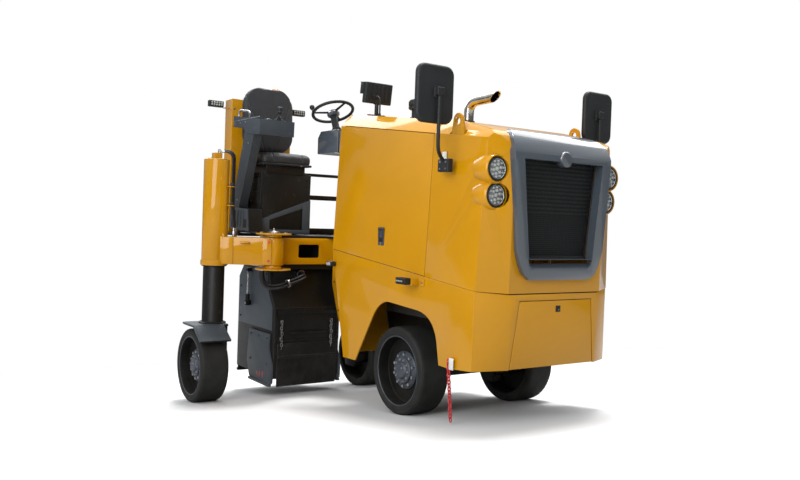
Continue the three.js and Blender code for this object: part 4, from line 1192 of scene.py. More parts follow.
class PLANER_OT_steering(bpy.types.Operator):
    """Steering wheel with spokes, cap and knob, and the boot of its tilted column"""

    bl_idname = "planer.steering"
    bl_label = "Steering"

    def execute(self, context):
        axis = Vector((-math.sin(STEER_TILT), 0, math.cos(STEER_TILT)))
        across = Vector((math.cos(STEER_TILT), 0, math.sin(STEER_TILT)))
        side = Vector((0, 1, 0))
        bm = bmesh.new()
        profile = [(172 + 13 * c, 13 * s) for _, c, s in ring(16)]
        spun(bm, profile + profile[:1], STEER_CENTRE, axis, 96)
        for k in range(3):
            angle = 0.2 + 2 * math.pi * k / 3
            out = across * math.cos(angle) + side * math.sin(angle)
            wide = axis.cross(out).normalized()
            a = STEER_CENTRE + out * 26 - axis * 10
            b = STEER_CENTRE + out * 166 - axis * 2
            slab(bm, [a - wide * 14, a + wide * 14, b + wide * 10, b - wide * 10], axis, 8, 3.0, 3)
        spun(bm, [(0, -40), (24, -40), (32, -30), (36, -6), (36, 4), (0, 4)], STEER_CENTRE, axis, 48)
        for _, c, s in ring(32):
            out = across * c + side * s
            bmesh.ops.create_icosphere(
                bm, subdivisions=1, radius=4.2,
                matrix=Matrix.Translation(STEER_CENTRE + out * 161 - axis * 6),
            )
        settle(bm, "steering_rim", *PLASTIC, ("steering_wheel",), body="steering_wheel")
        cap = bmesh.new()
        spun(cap, [(0, 3), (33, 3), (33, 7), (29, 11), (16, 13), (0, 13.5)], STEER_CENTRE, axis, 40)
        spun(cap, [(0, -44), (40, -44), (52, -34), (54, -20), (46, -8), (37, -4), (0, -4)],
             STEER_CENTRE, axis, 40)
        settle(cap, "steering_cap", *SLATE, body="steering_wheel")
        knob = bmesh.new()
        spun(knob, [
            (0, 8), (12, 8), (12, 14), (8, 18), (8, 74), (16, 80), (21, 90), (22, 102), (18, 112),
            (0, 115),
        ], STEER_CENTRE + (side * math.cos(KNOB_TURN) - across * math.sin(KNOB_TURN)) * 172, axis, 32)
        settle(knob, "steering_knob", *PLASTIC, body="steering_wheel")
        low = STEER_CENTRE - axis * 205
        boot = bmesh.new()
        spun(boot, [
            (0, 0), (46, 0), (48, 8), (40, 14), (44, 22), (36, 30), (40, 38), (32, 46), (30, 60),
            (30, 150), (26, 158), (0, 158),
        ], low, axis, 40)
        settle(boot, "steering_column_boot", *PLASTIC)
        return {"FINISHED"}


def cushion_mesh(name, size, centre, crown, waist, voxel, place):
    """A crowned pad with pulled-in sides, meshed evenly so that it can be stuffed."""
    bm = bmesh.new()
    bmesh.ops.create_cube(bm, size=1.0, matrix=Matrix.Diagonal((*size, 1.0)))
    round_edges(bm, bm.edges[:], min(size) * 0.38, 5)
    bmesh.ops.subdivide_edges(
        bm, edges=[e for e in bm.edges if e.calc_length() > 40], cuts=7, use_grid_fill=True,
    )
    for vert in bm.verts:
        u, v, w = (2 * vert.co[i] / size[i] for i in range(3))
        vert.co.x *= 1.0 - waist * (1 - v * v) * 0.5
        vert.co.y *= 1.0 - waist * (1 - u * u) * 0.5
        vert.co.z += crown * (1 - u * u) * (1 - v * v) * (1 if w > 0 else -0.25)
    bmesh.ops.transform(bm, matrix=place @ Matrix.Translation(Vector(centre)), verts=bm.verts[:])
    mesh = meshed(bm, name)
    mesh.transform(CHASSIS)
    piece = linked(name, mesh)
    remesh = piece.modifiers.new("voxels", "REMESH")
    remesh.mode = "VOXEL"
    remesh.voxel_size = voxel
    apply_modifiers(piece)
    return piece


def apply_modifiers(piece):
    """Bakes the modifiers of a piece into its mesh."""
    graph = bpy.context.evaluated_depsgraph_get()
    graph.update()
    mesh = bpy.data.meshes.new_from_object(piece.evaluated_get(graph))
    old = piece.data
    piece.modifiers.clear()
    piece.data = mesh
    bpy.data.meshes.remove(old)


def stuff(piece, cap, pressure=4.0, frames=20):
    """Fills the pad by cloth pressure, with a limit on how far any point may move."""
    before = [v.co.copy() for v in piece.data.vertices]
    scene = bpy.context.scene
    cloth = piece.modifiers.new("padding", "CLOTH")
    settings = cloth.settings
    settings.use_pressure = True
    settings.uniform_pressure_force = pressure
    settings.quality = 5
    settings.mass = 0.3
    settings.tension_stiffness = 25
    settings.compression_stiffness = 25
    settings.bending_stiffness = 2.0
    settings.effector_weights.gravity = 0.0
    cloth.point_cache.frame_start = 1
    cloth.point_cache.frame_end = frames
    for step in range(1, frames + 1):
        scene.frame_set(step)
    apply_modifiers(piece)
    scene.frame_set(1)
    for vert, old in zip(piece.data.vertices, before):
        moved = vert.co - old
        if moved.length > cap:
            vert.co = old + moved.normalized() * cap


def press_seams(piece, seams, depth, reach):
    """Sinks the surface along seam planes given as (point, normal) in the chassis frame."""
    turn = CHASSIS.to_3x3()
    planes = [(CHASSIS @ Vector(p), (turn @ Vector(n)).normalized()) for p, n in seams]
    mesh = piece.data
    normals = [Vector(n.vector) for n in mesh.vertex_normals]
    for vert, normal in zip(mesh.vertices, normals):
        sink = 0.0
        for point, across in planes:
            gap = abs((vert.co - point).dot(across))
            if gap < reach:
                sink = max(sink, (1 - gap / reach) ** 2)
        vert.co -= normal * depth * sink


class PLANER_OT_seat(bpy.types.Operator):
    """Padded seat, its sewn channels, side bolsters, pan and slides"""

    bl_idname = "planer.seat"
    bl_label = "Driver's seat"

    def execute(self, context):
        still = Matrix.Identity(4)
        voxel, slack, depth, reach, fill = 0.006, 0.004, 0.006, 0.012, 0.7
        cushion = cushion_mesh(
            "seat_cushion_pad", (445.0, 478.0, 92.0), (-1106, SEAT_Y, 1866), 14, 0.05, voxel, still,
        )
        stuff(cushion, 0.009)
        self.limit(cushion, "seat_cushion", slack)
        press_seams(cushion, [
            ((-1102, SEAT_Y - 140, 1866), (0, 1, 0)), ((-1102, SEAT_Y + 140, 1866), (0, 1, 0)),
            ((-960, SEAT_Y, 1866), (1, 0, 0)),
        ], depth, reach)
        self.cover(cushion, "seat_cushion", fill)
        lean = Matrix.Translation((-1337, SEAT_Y, 2244)) @ Matrix.Rotation(
            -math.atan(0.06), 4, "Y") @ Matrix.Rotation(math.radians(90), 4, "Y")
        back = cushion_mesh(
            "seat_back_pad", (612.0, 512.0, 78.0), (0, 0, 0), 10, 0.02, voxel, lean,
        )
        self.narrow_top(back)
        stuff(back, 0.007)
        self.limit(back, "seat_backrest", slack)
        press_seams(back, [
            ((-1337, SEAT_Y - 196, 2380), (0, 1, 0.36)), ((-1337, SEAT_Y + 196, 2380), (0, 1, -0.36)),
        ], depth, reach)
        self.cover(back, "seat_backrest", fill)
        self.pan()
        return {"FINISHED"}

    @staticmethod
    def narrow_top(piece):
        """Rounds the backrest's sides towards its top and foot."""
        top_start, top_reach, foot_start, foot_reach, share = 2362, 192, 2110, 176, 188 / 256
        inverse = CHASSIS.inverted()
        for vert in piece.data.vertices:
            point = inverse @ vert.co
            rise = min(max(0.0, point.z - top_start) / top_reach, 0.97)
            fall = min(max(0.0, foot_start - point.z) / foot_reach, 0.97)
            drawn = (2 - math.sqrt(1 - rise ** 2) - math.sqrt(1 - fall ** 2)) * share
            point.y = SEAT_Y + (point.y - SEAT_Y) * (1 - drawn)
            vert.co = CHASSIS @ point

    @staticmethod
    def limit(piece, label, slack):
        """Keeps the stuffed pad within its CAD solid's box and a little slack."""
        low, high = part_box(label)
        for vert in piece.data.vertices:
            for k in range(3):
                vert.co[k] = min(max(vert.co[k], low[k] - slack), high[k] + slack)

    @staticmethod
    def cover(piece, label, fill):
        sub = piece.modifiers.new("smooth", "SUBSURF")
        sub.levels = sub.render_levels = 1
        apply_modifiers(piece)
        piece.data.materials.append(MATERIALS["seat_vinyl_black"])
        for face in piece.data.polygons:
            face.use_smooth = True
        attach(piece, BODY_OF[label])
        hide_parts(label)

    def pan(self):
        """Moulded pan, slides, recline levers and back shell."""
        bm = bmesh.new()
        block(bm, -1340, -890, SEAT_Y - 240, SEAT_Y + 240, 1811.8, 1832, 8, 3)
        block(bm, -1410, -1386, SEAT_Y - 60, SEAT_Y + 60, 1750, 2080, 6, 3)
        block(bm, -1412, -1340, SEAT_Y - 72, SEAT_Y + 72, 1752, 1800, 6, 2)
        for y in (SEAT_Y - 150, SEAT_Y + 150):
            block(bm, -1330, -920, y - 14, y + 14, 1811.8, 1815, 1.5, 1, material=1)
        block(bm, -1060, -870, SEAT_Y + 120, SEAT_Y + 134, 1812, 1822, 3, 2, material=1)
        settle(bm, "seat_pan", *PLASTIC, extra=("bright_steel",))
        welts = bmesh.new()
        for y in (SEAT_Y - 228, SEAT_Y + 228):
            block(welts, -1300, -920, y - 3, y + 3, 1842, 1848, 2.4, 2)
        settle(welts, "seat_welt", "seat_vinyl", "seat_vinyl_black")


class PLANER_OT_console(bpy.types.Operator):
    """Console buttons, joystick, grab bar and display strip"""

    bl_idname = "planer.console"
    bl_label = "Control console"

    def execute(self, context):
        front_x, front_z, rear_x, rear_z = -706, 2178, -1180, 2238

        def top(x):
            return front_z + (x - front_x) * (rear_z - front_z) / (rear_x - front_x)

        tilt = Matrix.Rotation(math.atan((rear_z - front_z) / (front_x - rear_x)), 4, "Y")
        bm = bmesh.new()
        for row in range(3):
            for column in range(4):
                x, y, z = -1110 + 62 * column, -860 + 44 * row, top(-1110 + 62 * column)
                block(bm, x - 15, x + 15, y - 11, y + 11, z - 4, z + 7, 3, 2, tilt)
        block(bm, -860, -800, -860, -700, top(-830) - 4, top(-830) + 4, 3, 2, tilt)
        block(bm, -826, -736, -800, -720, top(-780) - 3, top(-780) + 5, 3, 2, tilt)
        for k in range(4):
            rod(bm, (-846 + 14 * k, -845, top(-840)), (-846 + 14 * k, -845, top(-840) + 8), 4,
                segments=12, material=1)
        settle(bm, "console_switches", *PLASTIC, extra=("bright_steel",))
        boot = bmesh.new()
        spun(boot, [
            (0, 0), (34, 0), (34, 6), (27, 12), (30, 18), (22, 25), (24, 31), (15, 40), (10, 46),
            (0, 46),
        ], (-788, -760, 2182), (0.12, 0, 1), 32)
        spun(boot, [
            (0, -26), (14, -26), (19, -14), (24, 4), (25, 20), (20, 32), (11, 38), (0, 39),
        ], (-774, -760, 2268), (0.1, 0, 1), 32)
        block(boot, -786, -760, -766, -754, 2292, 2304, 3, 2, material=1)
        settle(boot, "joystick", *PLASTIC, extra=("red_enamel",))
        tube("console_grab_bar", [
            (-1230, -940, 2230), (-1224, -940, 2276), (-1190, -940, 2294), (-1110, -940, 2284),
            (-1030, -940, 2273), (-996, -940, 2254), (-986, -940, 2204),
        ], 10, *BRIGHT)
        edge = bmesh.new()
        block(edge, -1268, -720, -974, -968, 2196, 2202, 2, 2)
        for x in (-1230, -1120, -1010):
            hexagon(edge, (x, -972, 2176), (0, -1, 0), 11, 5)
        for z in (1500, 1990):
            hexagon(edge, (-1170 + (z - 1480) * 0.42, -962, z), (0, -1, 0), 11, 5)
        settle(edge, "console_trim", "black_steel", "bright_steel")
        return {"FINISHED"}


class PLANER_OT_pedestal(bpy.types.Operator):
    """Ribs, hatch, bolts and slate surrounds of the seat pedestal and the console's foot"""

    bl_idname = "planer.pedestal"
    bl_label = "Seat pedestal details"

    def execute(self, context):
        bm = bmesh.new()
        for x in (-1396, -1180, -962):
            block(bm, x, x + 12, -852, -838, 1212, 1744, 3, 2)
        block(bm, -1390, -960, -850, -838, 1716, 1744, 4, 2)
        block(bm, -1150, -985, -846, -838, 1470, 1700, 8, 3)
        for z in range(1490, 1700, 26):
            block(bm, -1132, -1003, -849, -844, z, z + 12, 2.5, 2)
        for x in (-1372, -975):
            hexagon(bm, (x, -840, 1700), (0, -1, 0), 11, 5)
        block(bm, -950, -936, -830, -360, 1216, 1740, 5, 2)
        for y in (-800, -390):
            hexagon(bm, (-934, y, 1690), (1, 0, 0), 11, 5)
        settle(bm, "pedestal_fittings", *ENAMEL)
        surround = bmesh.new()
        for outline in (
            ((-842, 1212), (-752, 1212), (-752, 1366), (-842, 1334)),
            ((-752, 1372), (-752, 1330), (-430, 1440), (-430, 1492)),
            ((-752, 1212), (-352, 1212), (-352, 1248), (-752, 1248)),
            ((-430, 1248), (-352, 1248), (-352, 1522), (-430, 1492)),
        ):
            slab(surround, [(-936, y, z) for y, z in outline], (1, 0, 0), 7, 2.5)
        outline = ((-1394, 1212), (-938, 1212), (-938, 1334), (-1290, 1452), (-1394, 1452))
        slab(surround, [(x, -849, z) for x, z in outline], (0, -1, 0), 7, 2.5)
        settle(surround, "pedestal_surround", *SATIN)
        cover = bmesh.new()
        outline = ((-1304, 1244), (-886, 1230), (-919, 1416), (-1286, 1435))
        slab(cover, [(x, -964.4, z) for x, z in outline], (0, -1, 0), 6, 2.5)
        for k in range(5):
            x = -1262 + 62 * k
            outline = ((x, 1262), (x + 16, 1262), (x + 30, 1408), (x + 14, 1408))
            slab(cover, [(a, -969, z) for a, z in outline], (0, -1, 0), 6, 2.5)
        block(cover, -1004, -930, -973, -966, 1256, 1330, 5, 3, material=1)
        settle(cover, "console_foot_cover", *SATIN, extra=("dark_gap",))
        return {"FINISHED"}


class PLANER_OT_mast_lamps(bpy.types.Operator):
    """Two work lamps and the amber beacon on the mast"""

    bl_idname = "planer.mast_lamps"
    bl_label = "Mast lamps"

    def execute(self, context):
        for side_name, side in SIDES.items():
            edge = -920.0 if side < 0 else -320.0
            self.work_lamp(side_name, edge, side)
        lens = bmesh.new()
        centre = (-1520, -455, 2430.3)
        profile = [(0, 44), (55, 44), (57, 48)]
        for k in range(7):
            z = 50 + 8.6 * k
            profile += [(57.8, z), (56.2, z + 4.3)]
        profile += [(57, 112), (53, 128), (44, 144), (26, 155), (0, 159.5)]
        spun(lens, profile, centre, (0, 0, 1), 56)
        settle(lens, "beacon_lens", "amber_lens", "lens_amber", ("beacon_lamp",))
        base = bmesh.new()
        spun(base, [(0, 0), (50, 0), (50, 6), (46, 10), (46, 36), (56, 39), (58, 45), (0, 45)],
             centre, (0, 0, 1), 48)
        settle(base, "beacon_base", *PLASTIC)
        plates = bmesh.new()
        for y in (-860, -380):
            for z in (1300, 1600, 2340):
                for dx in (-50, 50):
                    hexagon(plates, (-1439.5, y + dx * 0.8, z), (1, 0, 0), 14, 7)
        for y in (-919, -441):
            block(plates, -1600, -1440, y - 1, y + 121, 1200, 1212, 3, 2, material=1)
        settle(plates, "mast_bolts", "yellow_paint", "bright_steel", extra=("yellow_gloss",))
        return {"FINISHED"}

    def work_lamp(self, side_name, edge, side):
        near, far = edge + side * 50, edge + side * 190
        low, high = min(near, far), max(near, far)
        bm = bmesh.new()
        block(bm, -1562, -1516, low, high, 2348, 2406, 7, 3)
        for k in range(7):
            y = low + 14 + k * (high - low - 28) / 6
            block(bm, -1572, -1558, y - 2.5, y + 2.5, 2353, 2401, 1.5, 1)
        block(bm, -1520, -1508, low + 3, high - 3, 2351, 2403, 5, 3)
        block(bm, -1510, -1507, low + 10, high - 10, 2357, 2397, 2, 2, material=1)
        for k in range(5):
            for z in (2367, 2387):
                y = low + 24 + k * (high - low - 48) / 4
                spun(bm, [(0, -2), (8, -2), (9, 3), (6, 6), (0, 7)], (-1507, y, z), (1, 0, 0), 16, 2)
        reach = (edge, edge + side * 56)
        block(bm, -1535, -1505, min(reach), max(reach), 2341, 2348, 2, 2, material=3)
        hexagon(bm, (-1520, edge + side * 34, 2348), (0, 0, 1), 13, 6, 4)
        settle(bm, side_name + "_work_lamp_unit", *PLASTIC,
               (side_name + "_work_lamp",),
               extra=("dark_gap", "lens_led", "yellow_gloss", "bright_steel"))


class PLANER_OT_platform(bpy.types.Operator):
    """Raised tread on the floor and steps, and the rear guard rail with its bolts"""

    bl_idname = "planer.platform"
    bl_label = "Platform tread"

    def execute(self, context):
        bm = bmesh.new()
        self.tread(bm, -800, -110, -190, 580, FLOOR_TOP)
        self.tread(bm, -1360, -860, -320, 580, FLOOR_TOP, skip=((-1130, -840, 100, 380),))
        for y, z in ((350, 440), (390, 810)):
            self.tread(bm, -596, -174, y, 582, z)
        # The tread bars take the lighter edge finish: rubbed steel and a painted highlight.
        settle(bm, "floor_tread", "black_steel", "edge_wear_and_highlight")
        rail, caps = bmesh.new(), bmesh.new()
        for z0, z1 in ((FLOOR_TOP + 0.3, 1260), (1535, 1580), (1762, 1790)):
            block(rail, -1420, -1380, -310, 585, z0, z1, 3)
        for y in (-310, 220, 545):
            block(rail, -1419.6, -1380.4, y, y + 40, 1201, 1789.4, 3)
            for z in (1240, 1560, 1776):
                hexagon(caps, (-1379.5, y + 20, z), (1, 0, 0), 13, 6)
        settle(rail, "rear_guard_rail", *ENAMEL, ("guard_rail",))
        settle(caps, "rail_bolts", "black_steel", "bright_steel")
        return {"FINISHED"}

    @staticmethod
    def tread(bm, x0, x1, y0, y1, z, skip=()):
        """Rows of small raised bars, alternately turned, pressed into the plate."""
        step, bar, tip = 44.0, (26.0, 6.0, 2.4, 1.0), 0.72
        for i in range(int((x1 - x0) / step)):
            for k in range(int((y1 - y0) / step)):
                x, y = x0 + step * (i + 0.5), y0 + step * (k + 0.5)
                if any(a < x < b and c < y < d for a, b, c, d in skip):
                    continue
                turn = Matrix.Rotation(math.radians(45 if (i + k) % 2 else -45), 4, "Z")
                made = bmesh.ops.create_cube(
                    bm, size=1.0, matrix=Matrix.Translation((x, y, z + 0.6)) @ turn
                    @ Matrix.Diagonal(bar),
                )
                top = [v for v in made["verts"] if v.co.z > z + 0.6]
                middle = Vector((x, y, z + 1.8))
                for vert in top:
                    vert.co = middle + (vert.co - middle) * tip


# ---------------------------------------------------------------- milling unit and columns
class PLANER_OT_milling_housing(bpy.types.Operator):
    """Bolt strips, side sheet, lift cylinder, chains and plate bolts of the milling housing"""

    bl_idname = "planer.milling_housing"
    bl_label = "Milling housing details"

    def execute(self, context):
        bm = bmesh.new()
        for y in (-712, -98):
            block(bm, -818, -804, y - 14, y + 14, 262, 552, 3, 2)
        block(bm, -818, -804, -722, -88, 506, 552, 3.5, 2)
        block(bm, -818, -806, -722, -88, 262, 280, 3, 2)
        for k in range(9):
            hexagon(bm, (-804, -690 + 71 * k, 530), (1, 0, 0), 11, 5)
            hexagon(bm, (-806, -690 + 71 * k, 271), (1, 0, 0), 11, 5)
        block(bm, -806, -792, -590, -220, 330, 350, 3, 2)
        settle(bm, "housing_ribs", *ENAMEL)
        side = bmesh.new()
        for x, z in ((-1540, 420), (-1540, 700), (-1300, 850), (-990, 850)):
            hexagon(side, (x, -734, z), (0, -1, 0), 14, 6)
            hexagon(side, (x, -80, z), (0, 1, 0), 14, 6)
        settle(side, "housing_side_bolts", *ENAMEL)
        sheet = bmesh.new()
        outline = (
            (-1585, 360), (-850, 360), (-850, 560), (-935, 690), (-975, 885), (-1490, 885),
            (-1585, 780),
        )
        slab(sheet, [(x, -730.4, z) for x, z in outline], (0, -1, 0), 4, 1.5)
        settle(sheet, "housing_side_sheet", *SATIN)
        lift = bmesh.new()
        rod(lift, (-1330, -760, 560), (-1330, -760, 640), 20, width=3)
        rod(lift, (-1330, -760, 640), (-1330, -760, 860), 10, width=1, material=1)
        block(lift, -1352, -1308, -778, -734, 850, 882, 5, 3)
        rod(lift, (-1330, -782, 560), (-1330, -734, 560), 26, width=3)
        rod(lift, (-1330, -786, 560), (-1330, -782, 560), 12, segments=6, width=1, material=1)
        settle(lift, "plate_lift_cylinder", *ENAMEL, extra=("bright_steel",))
        self.chain("right_hanging_chain", -662)
        self.chain("left_hanging_chain", -168)
        self.plates()
        return {"FINISHED"}

    def chain(self, name, y):
        """Bright chain hanging in front of the housing."""
        bm = bmesh.new()
        top, x, pitch = 432.0, -802.0, 24
        for k in range(10):
            place = Vector((x, y + 4.0 * math.sin(1.9 * k), top - pitch * k))
            link(bm, place, Vector((0, 0, 1)), k % 2 == 0, 17, 10, 3.6)
        block(bm, -818, -794, y - 10, y + 10, top + 14, top + 24, 2, 2)
        settle(bm, name, *BRIGHT)

    def plates(self):
        for side_name, side in SIDES.items():
            y = -751.0 if side < 0 else -59.0
            bm = bmesh.new()
            for x, z in ((-1250, 290), (-1080, 290), (-910, 290), (-1250, 60), (-910, 60)):
                hexagon(bm, (x, y, z), (0, side, 0), 15, 7)
            settle(bm, side_name + "_plate_bolts", *SATIN, body=side_name + "_skid_plate")
            marks = bmesh.new()
            for k in range(3):
                x = -1100 + 60 * k
                block(marks, x - 9, x + 9, y + side * 0.4 - 0.8, y + side * 0.4 + 0.8,
                      -70, -34 + 8 * k, 0.6, 1)
            settle(marks, side_name + "_plate_marks", "dark_slate_paint", "red_enamel",
                   body=side_name + "_skid_plate")


def link(bm, centre, along, flat, half, wide, thick):
    """One chain link: an oval ring of round wire."""
    side = Vector((0, 1, 0)) if flat else Vector((1, 0, 0))
    side = (side - along * side.dot(along)).normalized()
    path = [centre + side * wide * c + along * half * s for _, c, s in ring(12)]
    for a, b in zip(path, path[1:] + path[:1]):
        rod(bm, a, b + (b - a) * 0.12, thick, segments=6)


class PLANER_OT_drum_picks(bpy.types.Operator):
    """Point-attack picks in holders, wound in two spirals on the milling drum"""

    bl_idname = "planer.drum_picks"
    bl_label = "Drum picks"

    def execute(self, context):
        count = context.scene.planer_sizes.picks
        axis_x, axis_z, radius, first, width = -1085, 145, 152, -652, 484
        bm = bmesh.new()
        for k in range(count):
            share = (k + 0.5) / count
            y = first + width * share
            turn = 2 * math.pi * (share * 4.2 + (k % 2) * 0.5)
            out = Vector((math.cos(turn), 0, math.sin(turn)))
            ahead = Vector((-out.z, 0, out.x))
            base = Vector((axis_x, y, axis_z)) + out * radius
            lean = (out + ahead * 0.75).normalized()
            rod(bm, base - out * 10, base + lean * 20, 17, 13, 8)
            rod(bm, base + lean * 18, base + lean * 36, 9, 7, 10)
            rod(bm, base + lean * 36, base + lean * 52, 7, 1.5, 10, material=1)
        settle(bm, "drum_picks", "cast_metal", "cast_steel", extra=("carbide_tip",),
               body="milling_drum")
        return {"FINISHED"}


class PLANER_OT_columns(bpy.types.Operator):
    """Arm plates, pins, gland rings, fenders and hoses of the rear columns"""

    bl_idname = "planer.columns"
    bl_label = "Rear columns"

    def execute(self, context):
        self.sleeve("right", "right_swing_arm")
        self.sleeve("left", "chassis")
        for side_name, side in SIDES.items():
            self.fender(side_name, REAR_WHEEL_Y[side_name], side)
        self.arm_plate()
        self.hoses()
        return {"FINISHED"}

    def sleeve(self, side_name, body):
        """Collar, cap and gland of the sleeve that a column slides in."""
        y = SLEEVE_Y[side_name]
        bm = bmesh.new()
        spun(bm, [
            (91.5, -14), (112, -14), (114, -10), (114, 26), (111, 30), (107, 30), (107, 6),
            (91.5, 6), (91.5, -14),
        ], (COLUMN_X, y, 946), (0, 0, 1), 56)
        spun(bm, [(0, 0), (98, 0), (98, 5), (92, 9), (0, 9)], (COLUMN_X, y, 1825), (0, 0, 1), 56)
        for _, c, s in ring(6):
            hexagon(bm, (COLUMN_X + 70 * c, y + 70 * s, 1833), (0, 0, 1), 16, 9, 1)
        rod(bm, (COLUMN_X, y, 1830), (COLUMN_X, y, 1852), 16, segments=6, width=2, material=1)
        settle(bm, side_name + "_sleeve_caps", *YELLOW, extra=("bright_steel",), body=body)
        band = bmesh.new()
        spun(band, [(91, -22), (104, -22), (104, -14.5), (91, -14.5), (91, -22)],
             (COLUMN_X, y, 946), (0, 0, 1), 48)
        settle(band, side_name + "_sleeve_gland", *ENAMEL, body=body)

    def fender(self, side_name, y, side):
        """Painted guard plate with folded edges over the wheel."""
        a, b = sorted((y - side * 170, y + side * 132))
        bm = bmesh.new()
        block(bm, -1105, -857, a, b, 434.4, 439, 1.8, 2)
        y0, y1 = sorted((y - side * 130, y + side * 132))
        slab(bm, [(-860, y0, 435), (-860, y0, 439.5), (-684, y0, 331), (-687, y0, 327)],
             (0, 1, 0), y1 - y0, 1.6)
        rim = y + side * 132
        rod(bm, (-1106, rim, 432), (-859, rim, 432), 9, width=3)
        rod(bm, (-859, rim, 432), (-690, rim, 325), 9, width=3)
        rod(bm, (-1107, a + 10, 432), (-1107, b, 432), 9, width=3)
        settle(bm, side_name + "_fender_plate", *SATIN, body=side_name + "_rear_strut")
        foot = bmesh.new()
        column = y - side * 77
        spun(foot, [(90.4, 0), (114, 0), (114, 8), (108, 12), (94, 14), (90.4, 18), (90.4, 0)],
             (COLUMN_X, column, 439.2), (0, 0, 1), 48)
        for k in range(8):
            t = math.pi * k / 4 + 0.2
            hexagon(foot, (COLUMN_X + 102 * math.cos(t), column + 102 * math.sin(t), 450),
                    (0, 0, 1), 10, 5)
        settle(foot, side_name + "_column_foot", *ENAMEL, body=side_name + "_rear_strut")

    def arm_plate(self):
        """Pivot flanges and pin, the arm's end plate with red marks, and its lifting hook."""
        bm = bmesh.new()
        spun(bm, [(31, 0), (150, 0), (153, 3), (153, 11), (150, 14), (31, 14), (31, 0)],
             (PIVOT_X, PIVOT_Y, BEAM_TOP), (0, 0, 1), 64)
        spun(bm, [(31, 0), (150, 0), (153, 3), (153, 9), (150, 12), (31, 12), (31, 0)],
             (PIVOT_X, PIVOT_Y, BEAM_LOW), (0, 0, 1), 64)
        settle(bm, "pivot_flanges", *YELLOW)
        pin, flange = bmesh.new(), BEAM_TOP + 14.2
        spun(pin, [(0, 0), (48, 0), (48, 10), (40, 16), (20, 16), (18, 22), (0, 22)],
             (PIVOT_X, PIVOT_Y, flange), (0, 0, 1), 40)
        rod(pin, (PIVOT_X, PIVOT_Y, 1240), (PIVOT_X, PIVOT_Y, 1262), 7, segments=12, width=1)
        for _, c, s in ring(6, 0.5):
            hexagon(pin, (PIVOT_X + 118 * c, PIVOT_Y + 118 * s, flange), (0, 0, 1), 17, 9)
        settle(pin, "pivot_pin_cap", "yellow_paint", "bright_steel")
        arm, marks = bmesh.new(), bmesh.new()
        pivot = Vector((PIVOT_X, PIVOT_Y, 0))
        along = (Vector((COLUMN_X, SLEEVE_Y["right"], 0)) - pivot).normalized()
        face = Vector((-along.y, along.x, 0))
        root = pivot + face * 88
        up = Vector((0, 0, 1))
        for near, far, low, high in ((8, 84, 950, 1174), (330, 420, 950, 1174)):
            slab(arm, [
                root + along * near + up * low, root + along * far + up * low,
                root + along * far + up * high, root + along * near + up * high,
            ], face, 9, 3)
        slab(arm, [
            root + along * 404 + up * 1168, root + along * 420 + up * 1168,
            root + along * 420 + up * 1212, root + along * 404 + up * 1196,
        ], face, 9, 2)
        bar = face * 28 + up * 1136
        rod(arm, root + along * 196 + bar, root + along * 268 + bar, 9, width=2)
        for share in (200, 264):
            rod(arm, root + along * share + up * 1136, root + along * share + bar, 8, width=1)
        settle(arm, "arm_end_plates", *YELLOW, body="right_swing_arm")
        for z in (984, 1142):
            point = root + along * 30 + face * 9 + up * z
            rod(marks, point, point + face * 2.5, 11, segments=20)
        settle(marks, "arm_marks", "yellow_paint", "red_enamel", body="right_swing_arm")

    def hoses(self):
        """Pressure hoses from the sleeve's top down to the arm, with fittings and clamps."""
        axis = Vector((COLUMN_X, SLEEVE_Y["right"], 0))
        out = (Vector((PIVOT_X, PIVOT_Y, 0)) - axis).normalized()
        beside = Vector((-out.y, out.x, 0))
        up = Vector((0, 0, 1))
        fittings = bmesh.new()
        for k in range(3):
            lane = axis + beside * (24.0 * (k - 1))
            rise, run = 1896 + 7 * k, 138 + 5 * k
            start = lane + out * (40 - 6 * k) + up * rise
            tube("sleeve_hose_%d" % (k + 1), [
                start, lane + out * run + up * rise, lane + out * run + up * 1440,
                lane + out * (run + 22) + up * 1225,
            ], 7.5, *HOSE, body="right_swing_arm", free=True, bend=66)
            rod(fittings, start - out * 24, start + out * 4, 12, segments=6, width=1.5)
            rod(fittings, start - out * 16 + up * (1884 - rise), start - out * 16, 11, segments=12)
            rod(fittings, start + out * 2, start + out * 26, 10, 8.4, segments=16)
            foot = lane + out * (run + 22) + up * 1225
            rod(fittings, foot + up * 28, foot, 8.4, 10, segments=16)
            rod(fittings, foot + up * 2, foot - up * 47, 11, segments=6, width=1.5)
        settle(fittings, "hose_fittings", *BRIGHT, body="right_swing_arm")
        plate, clamps = bmesh.new(), bmesh.new()
        centre = axis + out * 130
        heading = out.to_track_quat("X", "Z").to_matrix().to_4x4()
        for z in (1640, 1480):
            block(plate, centre.x - 30, centre.x + 30, centre.y - 50, centre.y + 50, z - 42, z - 36,
                  2, 2, heading)
            block(clamps, centre.x - 4, centre.x + 26, centre.y - 44, centre.y + 44, z - 34, z - 10,
                  4, 2, heading)
        settle(plate, "hose_clamp_plates", *YELLOW, body="right_swing_arm")
        settle(clamps, "hose_clamps", *PLASTIC, body="right_swing_arm")


